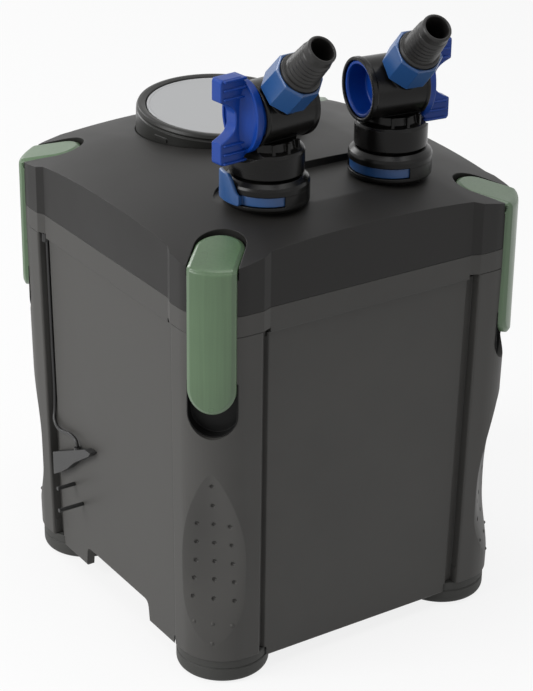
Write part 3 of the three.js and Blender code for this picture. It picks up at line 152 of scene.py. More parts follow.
def quads(rows: int, cols: int, wrap_rows: bool, wrap_cols: bool) -> list[tuple[int, ...]]:
    """Returns the faces of a grid of points.

    Args:
        rows: How many rows of points there are.
        cols: How many points a row has.
        wrap_rows: Whether the last row joins the first.
        wrap_cols: Whether a row closes on itself.

    Returns:
        Rows of four point numbers.
    """
    r = np.arange(rows if wrap_rows else rows - 1)[:, None]
    c = np.arange(cols if wrap_cols else cols - 1)[None, :]
    r2, c2 = (r + 1) % rows, (c + 1) % cols
    corners = np.stack([r * cols + c, r * cols + c2, r2 * cols + c2, r2 * cols + c], -1)
    return [tuple(q) for q in corners.reshape(-1, 4).tolist()]


def lofted(sections: Points) -> Shape:
    """Returns a skin over closed outlines, with flat ends.

    P(i, j) is point j of outline i, and each outline closes on itself.

    Args:
        sections: An array of outlines, points and coordinates.

    Returns:
        The closed shape.
    """
    rows, cols = sections.shape[:2]
    faces = quads(rows, cols, False, True)
    faces.append(tuple(range(cols))[::-1])
    faces.append(tuple(range((rows - 1) * cols, rows * cols)))
    return Shape(sections.reshape(-1, 3), faces)


def raised(outline: Points, z0: float, z1: float, matrix: Optional[Matrix] = None) -> Shape:
    """Returns a flat outline raised from one height to another.

    Args:
        outline: Points in x and y.
        z0: The first height.
        z1: The second height.
        matrix: Where it is put.

    Returns:
        The closed shape.
    """
    low = np.column_stack([outline, np.full(len(outline), z0)])
    high = np.column_stack([outline, np.full(len(outline), z1)])
    shape = lofted(np.stack([low, high]))
    return shape.placed(matrix) if matrix else shape


def block(low: Sequence[float], high: Sequence[float]) -> Shape:
    """Returns a box between two corners given in any order.

    Args:
        low: One corner.
        high: The corner across from it.

    Returns:
        The box.
    """
    a, b = np.minimum(low, high), np.maximum(low, high)
    outline = np.array([(a[0], a[1]), (b[0], a[1]), (b[0], b[1]), (a[0], b[1])])
    return raised(outline, a[2], b[2])


def revolved(
    profile: Union[Profile, Points],
    steps: int = 96,
    arc: tuple[float, float] = (0.0, 360.0),
    matrix: Optional[Matrix] = None,
) -> Shape:
    """Returns a surface of revolution about Z.

    P(a, j) = (r_j cos a, r_j sin a, z_j) for the profile's points (r_j, z_j). A profile
    that starts and ends on the axis is open there, and any other closes on itself.

    Args:
        profile: Radius and height pairs.
        steps: How many facets a full turn has.
        arc: First and last angle in degrees.
        matrix: Where the axis goes.

    Returns:
        The shape.
    """
    p = np.asarray(profile, float)
    full = arc[1] - arc[0] >= 360
    on_axis = abs(p[0, 0]) < 1e-9 and abs(p[-1, 0]) < 1e-9
    count = steps if full else max(3, round(steps * (arc[1] - arc[0]) / 360) + 1)
    a = np.radians(np.linspace(arc[0], arc[1], count, endpoint=not full))
    heights = np.broadcast_to(p[:, 1], (count, len(p)))
    grid = np.stack([np.outer(np.cos(a), p[:, 0]), np.outer(np.sin(a), p[:, 0]), heights], -1)
    faces = quads(count, len(p), full, not on_axis)
    if not full:
        faces.append(tuple(range(len(p)))[::-1])
        faces.append(tuple(range((count - 1) * len(p), count * len(p))))
    shape = Shape(grid.reshape(-1, 3), faces)
    return shape.placed(matrix) if matrix else shape


def rod(
    r: float, z0: float, z1: float, matrix: Optional[Matrix] = None, edge: float = 0.0
) -> Shape:
    """Returns a round bar about Z, with its rims rounded by an edge radius."""
    profile = softened([(0, z0), (r, z0), (r, z1), (0, z1)], [0, edge, edge, 0], closed=False)
    return revolved(profile, matrix=matrix)


def softened(
    points: Union[Profile, Points],
    radii: Union[float, Sequence[float]],
    steps: int = 4,
    closed: bool = True,
) -> Points:
    """Returns a flat line of points with its corners rounded.

    Each corner P becomes the curve (1-t)^2 A + 2t(1-t) P + t^2 B, where A and B lie on
    its two legs, as far from P as a circle of the corner's radius touches them.

    Args:
        points: The corners in order.
        radii: One radius for all of them, or one for each.
        steps: How many stretches a corner has.
        closed: Whether the last corner joins the first.

    Returns:
        The line's points.
    """
    p = np.asarray(points, float)
    r = np.broadcast_to(np.asarray(radii, float), (len(p),)).copy()
    if not closed:
        r[0] = r[-1] = 0
    before, after = np.roll(p, 1, 0) - p, np.roll(p, -1, 0) - p
    reach0, reach1 = np.linalg.norm(before, axis=1), np.linalg.norm(after, axis=1)
    d0 = before / np.maximum(reach0, 1e-9)[:, None]
    d1 = after / np.maximum(reach1, 1e-9)[:, None]
    half = 0.5 * np.arccos(np.clip((d0 * d1).sum(1), -1, 1))
    touch = np.minimum(r / np.maximum(np.tan(half), 1e-3), 0.48 * np.minimum(reach0, reach1))
    a, b = p + d0 * touch[:, None], p + d1 * touch[:, None]
    t = np.linspace(0, 1, steps + 1)[None, :, None]
    curve = (1 - t) ** 2 * a[:, None] + 2 * t * (1 - t) * p[:, None] + t**2 * b[:, None]
    line = curve.reshape(-1, 2)
    keep = np.linalg.norm(line - np.roll(line, 1, 0), axis=1) > 1e-4
    if not closed:
        keep[0] = True
    return line[keep]


def tongue(half: float, z0: float, z1: float, steps: int = 28) -> Points:
    """Returns the outline of a strip whose low end is a half circle, in width and height.

    Args:
        half: Half of its width.
        z0: Its lowest height.
        z1: Its top.
        steps: How many stretches the half circle has.

    Returns:
        The outline's points.
    """
    a = np.linspace(2 * np.pi, np.pi, steps + 1)
    low = np.column_stack([half * np.cos(a), z0 + half + half * np.sin(a)])
    return np.vstack([low, [(-half, z1), (half, z1)]])


def rounded_plan(half_x: float, half_y: float, r: float, steps: int = 14) -> Points:
    """Returns a rectangle whose corners are quarter circles.

    Args:
        half_x: Half of its size along X.
        half_y: Half along Y.
        r: The corners' radius.
        steps: Stretches of a corner.

    Returns:
        The outline's points.
    """
    a = np.linspace(0, np.pi / 2, steps + 1)
    corner = np.column_stack([half_x - r + r * np.cos(a), half_y - r + r * np.sin(a)])
    flip = corner[::-1]
    return np.vstack([corner, flip * (-1, 1), corner * (-1, -1), flip * (1, -1)])


class Step(Enum):
    """What a second shape does to the first."""

    JOIN = "UNION"
    CUT = "DIFFERENCE"
    KEEP = "INTERSECT"


def worked(name: str, base: Shape, steps: Sequence[tuple[Step, Shape]]) -> bpy.types.Mesh:
    """Returns a shape that others are cut from, joined to or laid over.

    Args:
        name: The mesh's name.
        base: The first shape.
        steps: What is done to it, in order, and with which shape.

    Returns:
        The finished mesh.
    """
    scene = bpy.context.scene.collection
    body = bpy.data.objects.new(name + "_work", base.mesh(name + "_work"))
    scene.objects.link(body)
    tools = []
    for number, (step, shape) in enumerate(steps):
        tool = bpy.data.objects.new(f"{name}_tool_{number}", shape.mesh(f"{name}_tool_{number}"))
        scene.objects.link(tool)
        modifier = body.modifiers.new(f"step_{number}", "BOOLEAN")
        modifier.operation = step.value
        modifier.solver = "MANIFOLD"
        modifier.object = tool
        tools.append(tool)
    bpy.context.view_layer.update()
    seen = body.evaluated_get(bpy.context.evaluated_depsgraph_get())
    mesh = bpy.data.meshes.new_from_object(seen)
    mesh.name = name
    for made in [body, *tools]:
        data = made.data
        bpy.data.objects.remove(made)
        bpy.data.meshes.remove(data)
    return mesh


# ------------------------------------------------------------------ finishes
def linear(hex_colour: str) -> tuple[float, float, float, float]:
    """Returns the linear colour of an sRGB hex value.

    Args:
        hex_colour: The colour as a hash and six digits.

    Returns:
        Red, green, blue and an alpha of 1.
    """
    c = np.array([int(hex_colour[i : i + 2], 16) for i in (1, 3, 5)]) / 255
    c = np.where(c <= 0.04045, c / 12.92, ((c + 0.055) / 1.055) ** 2.4)
    return (*c.tolist(), 1.0)


class Nodes:
    """A node tree, with short ways to add what the finishes and the studio need."""

    def __init__(self, tree: bpy.types.NodeTree) -> None:
        """Takes up a node tree."""
        self.tree = tree

    def add(
        self,
        kind: str,
        values: Optional[dict] = None,
        links: Optional[dict] = None,
        output: Union[int, str] = 0,
        **settings: object,
    ) -> Socket:
        """Adds a node with its settings, socket values and links.

        Args:
            kind: Its type's name after ShaderNode.
            values: Value of each input socket, by name or number.
            links: Output socket that feeds each input, by name or number.
            output: Which of the node's outputs is returned.
            **settings: The node's own properties.

        Returns:
            One of the node's outputs.
        """
        made = self.tree.nodes.new("ShaderNode" + kind)
        for name, value in settings.items():
            setattr(made, name, value)
        for name, value in (values or {}).items():
            made.inputs[name].default_value = value
        for name, source in (links or {}).items():
            self.tree.links.new(source, made.inputs[name])
        return made.outputs[output]

    def maths(self, operation: str, *terms: Union[float, Socket]) -> Socket:
        """Adds a sum.

        Args:
            operation: What is done, as Blender names it.
            *terms: Numbers or output sockets.

        Returns:
            The result's socket.
        """
        values = {i: term for i, term in enumerate(terms) if isinstance(term, float)}
        links = {i: term for i, term in enumerate(terms) if i not in values}
        return self.add("Math", values, links, operation=operation)

    def looked_at(self) -> Socket:
        """Returns a socket that is 1 for rays from the camera, a gloss or a clear piece."""
        seen, glossy, clear = (self.add("LightPath", output=f"Is {ray} Ray")
                               for ray in ("Camera", "Glossy", "Transmission"))
        return self.maths("MAXIMUM", self.maths("MAXIMUM", seen, glossy), clear)


class Skin(Nodes):
    """The node tree of a new material."""

    def __init__(self, name: str) -> None:
        """Makes the material, with Blender's surface shader in it."""
        self.material = bpy.data.materials.new(name)
        self.material.use_nodes = True
        super().__init__(self.material.node_tree)

    @property
    def here(self) -> Socket:
        """Returns a socket with the place on the object, in metres."""
        return self.add("TexCoord", output="Object")

    def noise(self, size_mm: float, detail: float, vector: Optional[Socket] = None) -> Socket:
        """Returns a socket with soft noise of a grain size, from 0 to 1."""
        sizes = {"Scale": 1 / (size_mm * MM), "Detail": detail}
        return self.add("TexNoise", sizes, {"Vector": vector or self.here})

    def span(
        self, value: Socket, to: tuple[float, float], source: tuple[float, float] = (0.0, 1.0)
    ) -> Socket:
        """Adds a node that carries one range of values into another.

        Args:
            value: The socket that it reads.
            to: First and last value that it gives.
            source: First and last value that it reads.

        Returns:
            The result's socket.
        """
        names = ("From Min", "From Max", "To Min", "To Max")
        return self.add("MapRange", dict(zip(names, (*source, *to))), {"Value": value})

    def ramp(
        self,
        value: Socket,
        hex_colour: str,
        shares: tuple[float, float],
        ends: tuple[float, float] = (0.0, 1.0),
    ) -> Socket:
        """Adds a ramp between two shades of a colour.

        Args:
            value: The socket that it reads.
            hex_colour: The colour.
            shares: How bright the first and the last shade are, as shares of the colour.
            ends: The values that give the first and the last shade.

        Returns:
            The colour's socket.
        """
        r, g, b, _ = linear(hex_colour)
        tone = self.add("ValToRGB", links={"Fac": value})
        for stop, share, end in zip(tone.node.color_ramp.elements, shares, ends):
            stop.position = end
            stop.color = (r * share, g * share, b * share, 1)
        return tone

    def shaded(self, values: dict, links: dict) -> bpy.types.Material:
        """Sets the surface shader's inputs.

        Args:
            values: Value of each input, by name.
            links: Socket that feeds each input, by name.

        Returns:
            The material.
        """
        inputs = self.tree.nodes["Principled BSDF"].inputs
        for name, value in values.items():
            inputs[name].default_value = value
        for name, source in links.items():
            self.tree.links.new(source, inputs[name])
        return self.material


@dataclass(frozen=True)
class Plastic:
    """A moulded thermoplastic: an even body colour under a spark-eroded or polished skin.

    The mould leaves a fine grain that breaks up the gloss, the colour drifts a little
    across a large wall, and a thumb's width of the surface is duller here and there.
    """

    name: str
    colour: str
    roughness: float
    ior: float = 1.53
    grain_mm: float = 1.1  # real spark erosion is nearer 0.1 mm, too fine to show
    grain_depth_mm: float = 0.016
    drift: float = 0.07  # share that the colour drifts by
    drift_mm: float = 46.0
    sheen: float = 0.5  # how strong the gloss is, where 0.5 is a clean polished skin
    edge_mm: float = 0.7  # rounding that a mould's edges have
    streak: float = 0.0  # share that drawn flow lines along Z change the colour by
    streak_mm: float = 1.6
    dust: float = 0.0  # share of pale dust on faces that look up
    dust_colour: str = "#8b8a86"

    def material(self) -> bpy.types.Material:
        """Returns the finish as a node material: drift and grain, then streaks, then dust."""
        skin = Skin(self.name)
        mottled = (0.3, 0.7)  # the middle of a noise, where most of its values lie
        drift = skin.noise(self.drift_mm, 3.0)
        colour = skin.ramp(drift, self.colour, (1 - self.drift, 1 + self.drift), mottled)
        height = skin.noise(self.grain_mm, 2.0)
        if self.streak:
            drawn = skin.add("Mapping", {"Scale": (1, 1, 0.02)}, {"Vector": skin.here})
            lines = skin.noise(self.streak_mm, 2.0, drawn)
            shade = skin.span(lines, (1 - self.streak, 1 + self.streak), mottled)
            colour = skin.add("VectorMath", None, {0: colour, "Scale": shade}, operation="SCALE")
            height = skin.maths("ADD", height, lines)
        if self.dust:
            normal = skin.add("NewGeometry", output="Normal")
            up = skin.add("SeparateXYZ", None, {"Vector": normal}, "Z")
            cover = skin.maths("MULTIPLY", skin.span(up, (0, self.dust), (0.6, 1.0)), drift)
            colour = skin.add("Mix", {7: linear(self.dust_colour)}, {0: cover, 6: colour}, 2,
                              data_type="RGBA")
        relief = {"Height": height}
        if self.edge_mm:
            relief["Normal"] = skin.add("Bevel", {"Radius": self.edge_mm * MM}, samples=6)
        depth = self.grain_depth_mm * MM * 4
        bump = skin.add("Bump", {"Strength": 0.35, "Distance": depth}, relief)
        dull = skin.span(drift, (self.roughness - 0.05, self.roughness + 0.06), (0.25, 0.75))
        return skin.shaded({"IOR": self.ior, "Specular IOR Level": self.sheen},
                           {"Base Color": colour, "Roughness": dull, "Normal": bump})


@dataclass(frozen=True)
class Metal:
    """A metal with fine lines round an axis, or a plain satin one.

    Lines of a lathe or a brush spread the highlight across themselves.
    """

    name: str
    colour: str
    roughness: float
    metallic: float = 1.0
    axis_mm: Optional[tuple[float, float, float]] = None  # where a disc's lines are centred
    line_mm: float = 0.8

    def material(self) -> bpy.types.Material:
        """Returns the finish as a node material, whose lines follow x or the disc's radius."""
        skin = Skin(self.name)
        where = skin.here
        if self.axis_mm:
            centre = tuple(-v * MM for v in self.axis_mm)
            shifted = skin.add("Mapping", {"Location": centre}, {"Vector": where})
            split = skin.add("SeparateXYZ", None, {"Vector": shifted}).node.outputs
            squares = [skin.maths("POWER", split[k], 2.0) for k in (0, 1)]
            radius = skin.maths("SQRT", skin.maths("ADD", *squares))
            where = skin.add("CombineXYZ", None, {"X": radius})
        lines = skin.noise(self.line_mm, 3.0, where)
        tone = skin.ramp(lines, self.colour, (0.93, 1.07))
        dull = skin.span(lines, (self.roughness - 0.06, self.roughness + 0.08))
        bump = skin.add("Bump", {"Strength": 0.12, "Distance": 0.00004}, {"Height": lines})
        return skin.shaded({"Metallic": self.metallic},
                           {"Base Color": tone, "Roughness": dull, "Normal": bump})


@dataclass(frozen=True)
class Cellular:
    """Filter foam or floss: open cells or tangled fibres, with painted shade in their hollows."""

    name: str
    colour: str
    cell_mm: float
    depth_mm: float = 1.2

    def material(self) -> bpy.types.Material:
        """Returns the finish as a node material, its colour darker where the cells' bump is
        deeper, as painted shade.
        """
        skin = Skin(self.name)
        scale = 1 / (self.cell_mm * MM)
        cells = skin.add("TexVoronoi", {"Scale": scale}, {"Vector": skin.here}, "Distance")
        # Painted shade: the cells' colour falls to 45 % where the bump is deepest.
        tone = skin.ramp(cells, self.colour, (0.45, 1.0))
        bump = skin.add("Bump", {"Strength": 0.8, "Distance": self.depth_mm * MM},
                        {"Height": cells})
        return skin.shaded({"Roughness": 0.95, "Specular IOR Level": 0.2},
                           {"Base Color": tone, "Normal": bump})


class Finish(Enum):
    """Every finish on the filter, with the record's material slot that it belongs to."""

    # Injection-moulded ABS with a spark-eroded skin: even dark grey, soft wide highlights.
    TUB = ("tub_plastic", Plastic("abs_tub_dark_grey", "#454442", 0.5, sheen=0.22))
    # The same ABS in charcoal, a little glossier where it is handled.
    HEAD = ("head_plastic", Plastic("abs_head_charcoal", "#1f1e1d", 0.46, sheen=0.2,
                                    dust=0.04))
    # ABS in a mid grey for the band under the head.
    BAND = ("band_plastic", Plastic("abs_band_grey", "#434240", 0.48, sheen=0.22))
    # ABS in grey-green, drawn along the latch, so it shows faint upright flow lines.
    LATCH = ("latch_plastic", Plastic("abs_latch_grey_green", "#4f674a", 0.3, sheen=0.5,
                                      streak=0.08))
    # ABS bezel round the priming button.
    BEZEL = ("bezel_plastic", Plastic("abs_bezel_dark_grey", "#1d1d1b", 0.36, sheen=0.22))
    # Polished glass-filled polyamide of the taps: near black with tight highlights.
    TAP = ("tap_plastic", Plastic("polyamide_tap_black", "#0f0e0d", 0.25, sheen=0.18,
                                  grain_mm=2.0, grain_depth_mm=0.01))
    # Hose tails in the same polyamide with a matt mould.
    TAIL = ("tail_plastic", Plastic("polyamide_tail_black", "#201f1e", 0.4, sheen=0.3,
                                    grain_mm=0.9))
    # Acetal valve plug: saturated blue, smooth.
    HANDLE = ("handle_plastic", Plastic("acetal_handle_blue", "#07388a", 0.34, sheen=0.25,
                                        grain_mm=1.6, grain_depth_mm=0.008, drift=0.05))
    # Acetal release levers and union nuts in a duller steel blue.
    LEVER = ("lever_plastic", Plastic("acetal_lever_steel_blue", "#204a7e", 0.32, grain_mm=1.6,
                                      grain_depth_mm=0.008, drift=0.06))
    # Soft thermoplastic rubber of the feet: dull, slightly marked.
    FOOT = ("foot_rubber", Plastic("rubber_foot_dark_grey", "#3c3c3a", 0.62, sheen=0.25,
                                   grain_mm=1.4, grain_depth_mm=0.03, drift=0.1))
    # Black nitrile rubber seals.
    SEAL = ("seal_rubber", Plastic("nitrile_seal_black", "#151515", 0.6, edge_mm=0))
    # Black polypropylene of the inner pieces; on the finger-well cups this near-black is painted
    # shade.
    INNER = ("inner_plastic", Plastic("polypropylene_inner_black", "#101010", 0.5, sheen=0.15))
    BASKET = ("basket_plastic", Plastic("polypropylene_basket_grey", "#3a3a3a", 0.5))
    IMPELLER = ("impeller_plastic", Plastic("acetal_impeller_blue", "#27487a", 0.35))
    # Sintered alumina shaft, ground: off-white and dense.
    SHAFT = ("shaft_ceramic", Plastic("alumina_shaft", "#e8e4da", 0.3, ior=1.76, edge_mm=0.2))
    # Spring steel, drawn bright.
    STEEL = ("pin_steel", Metal("spring_steel_drawn", "#a6a6a3", 0.28))
    # Aluminium foil disc with a fine turned grain under a clear lacquer.
    DISC = ("disc_foil", Metal("aluminium_disc_turned", "#a9aaab", 0.38, 0.55, (0, 51, 316), 1.1))
    FOAM = ("media_foam", Cellular("polyurethane_foam_dark", "#3a3e44", 3.2))
    RINGS = ("media_rings", Cellular("ceramic_ring_bed", "#d8cfc0", 11.0, 4.0))
    FLOSS = ("media_floss", Cellular("polyester_floss_white", "#e6e9ea", 1.8, 0.8))
    GLAND = ("gland_rubber", Plastic("rubber_gland_black", "#171717", 0.6, edge_mm=0.3))
    LEAD = ("lead_pvc", Plastic("pvc_lead_black", "#131313", 0.45, edge_mm=0))
    CLIP = ("clip_plastic", Plastic("abs_clip_black", "#1d1d1d", 0.45))

    @property
    def slot(self) -> str:
        """Returns the record's material slot."""
        return self.value[0]

    @property
    def material(self) -> bpy.types.Material:
        """Returns the finish's one material, made when it is first asked for."""
        found = bpy.data.materials.get(self.value[1].name)
        return found or self.value[1].material()


# ------------------------------------------------------------------ pieces
BEVEL_FROM = 38.0  # degrees from which an edge counts as sharp


def piece(
    name: str,
    source: Union[Shape, bpy.types.Mesh],
    finish: Finish,
    body: str,
    replaces: Sequence[str] = (),
    smooth: float = 32.0,
    bevel: float = 0.0,
) -> bpy.types.Object:
    """Makes a finished piece that rides on a body.

    Args:
        name: The piece's name.
        source: Its closed shape or mesh.
        finish: Its finish.
        body: The body that it rides on.
        replaces: CAD nodes that it stands for.
        smooth: Angle in degrees below which an edge is shaded smooth.
        bevel: Width in millimetres that sharp edges are rounded by.

    Returns:
        The piece's object.
    """
    mesh = source.mesh(name) if isinstance(source, Shape) else source
    made = bpy.data.objects.new(name, mesh)
    bpy.context.scene.collection.objects.link(made)
    if bevel:
        rounding = made.modifiers.new("edges", "BEVEL")
        rounding.width = bevel * MM
        rounding.segments = 3
        rounding.limit_method = "ANGLE"
        rounding.angle_limit = math.radians(BEVEL_FROM)
        bpy.context.view_layer.update()
        seen = made.evaluated_get(bpy.context.evaluated_depsgraph_get())
        rounded = bpy.data.meshes.new_from_object(seen)
        made.modifiers.clear()
        made.data = rounded
        bpy.data.meshes.remove(mesh)
        rounded.name = name
        mesh = rounded
    mesh.materials.clear()
    mesh.materials.append(finish.material)
    mesh.shade_smooth()
    mesh.set_sharp_from_angle(angle=math.radians(smooth))
    even = made.modifiers.new("even_normals", "WEIGHTED_NORMAL")
    even.keep_sharp = True
    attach(made, body)
    if replaces:
        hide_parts(*replaces)
    log.info("%s: %d faces, on %s", name, len(mesh.polygons), body)
    return made


def dressed(frame: dict, name: str, finish: Finish) -> None:
    """Gives a CAD node that stays its finish.

    Args:
        frame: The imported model.
        name: The node's name.
        finish: Its finish.
    """
    mesh = frame["nodes"][name].data
    mesh.materials.clear()
    mesh.materials.append(finish.material)
    log.info("%s: kept, %s", name, finish.value[1].name)


# ------------------------------------------------------------------ plan of the housing
@dataclass(frozen=True)
class Plan:
    """Sizes that the tub, the band, the head and the latches share, in millimetres."""

    half_x: float = 120.0
    half_y: float = 122.5
    corner_r: float = 30.0
    post: float = 40.0
    seam_z: float = 240.8
    taper: float = 0.028
    skirt_recess: float = 2.5
    skirt_step: float = 6.0
    latch_floor: float = 26.5  # flat behind a latch, from the corner's centre
    pocket_half: float = 15.45
    foot_r: float = 29.5
    foot_h: float = 16.5
    keeper: tuple[float, float] = (211.5, 0.78)  # height and slope of a latch's keeper
    pin: tuple[float, float] = (12.0, 283.0)  # a latch's pin, outwards and in height
    crown_z: float = 305.0
    crown_fall: tuple[float, float] = (9.9, 13.0)  # at the sides and at the ends
    crown_power: float = 2.3
    ridge: tuple[float, float] = (58.0, 17.0)  # its place in the middle, and what the ends add
    ridge_slope: float = 0.08

    def shrink(self, z: Union[float, Points]) -> Union[float, Points]:
        """Returns the share that the tub's plan keeps at a height."""
        return 1 - self.taper * np.maximum(0, self.seam_z - z) / self.seam_z

    def lean(self, z: Union[float, Points]) -> Union[float, Points]:
        """Returns how far the taper draws a post in along its diagonal."""
        reach = math.hypot(self.half_x - self.corner_r, self.half_y - self.corner_r)
        return (1 - self.shrink(z)) * (reach + self.corner_r)

    def outline(self, recess: float, step: float, groove: float, steps: int = 18) -> Points:
        """Returns the plan's outline: posts, recessed faces, and grooves or slopes between.

        Args:
            recess: How far the faces lie behind the posts.
            step: Width of the groove or slope beside a post.
            groove: Depth of the groove under the face, or 0 for a slope.
            steps: How many stretches a corner's quarter circle has.

        Returns:
            The outline's points.
        """
        hx, hy, post, r = self.half_x, self.half_y, self.post, self.corner_r
        rows = [(hx - recess, hy - post - step - 0.8 * groove, 0.9)]
        if groove:
            rows += [(hx - recess - groove, hy - post - step, 0.3),
                     (hx - recess - groove, hy - post, 0.3)]
        rows.append((hx, hy - post, 1.8))
        a = np.linspace(0, np.pi / 2, steps + 1)
        rows += np.column_stack([hx - r + r * np.cos(a), hy - r + r * np.sin(a), 0 * a]).tolist()
        rows.append((hx - post, hy, 1.8))
        if groove:
            rows += [(hx - post, hy - recess - groove, 0.3),
                     (hx - post - step, hy - recess - groove, 0.3)]
        rows.append((hx - post - step - 0.8 * groove, hy - recess, 0.9))
        q = np.array(rows)
        back = q[::-1]
        whole = np.vstack([q, back * (-1, 1, 1), q * (-1, -1, 1), back * (1, -1, 1)])
        return softened(whole[:, :2], whole[:, 2], steps=6)

    def inset(self, depth: float, r: float) -> Points:
        """Returns a rounded plan that lies inside the sides by a depth."""
        return rounded_plan(self.half_x - depth, self.half_y - depth, r)

    def section(self, outline: Points, z: float, share: Optional[float] = None) -> Points:
        """Returns an outline at a height, drawn in by the taper or by a share."""
        k = self.shrink(z) if share is None else share
        return np.column_stack([outline * k, np.full(len(outline), z)])

    def crown(self, x: Points, y: Points) -> Points:
        """Returns the height of the head's crown.

        It is crown_z less a fall |x/half_x|^power and |y/half_y|^power, and less a slope
        outside the soft ridge that runs from front to rear.

        Args:
            x: Places along X.
            y: Places along Y.

        Returns:
            The heights.
        """
        (side, end), power, (middle, more) = self.crown_fall, self.crown_power, self.ridge
        fall = side * np.abs(x / self.half_x) ** power + end * np.abs(y / self.half_y) ** power
        ridge = middle + more * (np.abs(y) / self.half_y) ** 2
        return self.crown_z - fall - self.ridge_slope * np.maximum(0, np.abs(x) - ridge)


PLAN = Plan()


class Corner(Enum):
    """The four corners, with the signs of X and Y."""

    FRONT_LEFT = (-1, -1)
    FRONT_RIGHT = (1, -1)
    REAR_RIGHT = (1, 1)
    REAR_LEFT = (-1, 1)

    @property
    def label(self) -> str:
        """Returns the corner's name in lower case."""
        return self.name.lower()

    @property
    def frame(self) -> Matrix:
        """Returns the frame whose X points outwards from the corner's centre."""
        sx, sy = self.value
        centre = at(sx * (PLAN.half_x - PLAN.corner_r), sy * (PLAN.half_y - PLAN.corner_r), 0)
        return centre @ turned(math.degrees(math.atan2(sy, sx)), "Z")

    @property
    def foot(self) -> Matrix:
        """Returns the frame of the corner's foot, drawn in by the taper."""
        (sx, sy), k, r = self.value, float(PLAN.shrink(0)), PLAN.corner_r
        return at(sx * (PLAN.half_x * k - r), sy * (PLAN.half_y * k - r), 0)


class Side(Enum):
    """The two taps, with the sign of X."""

    LEFT = -1
    RIGHT = 1

    @property
    def label(self) -> str:
        """Returns the side's name in lower case."""
        return self.name.lower()


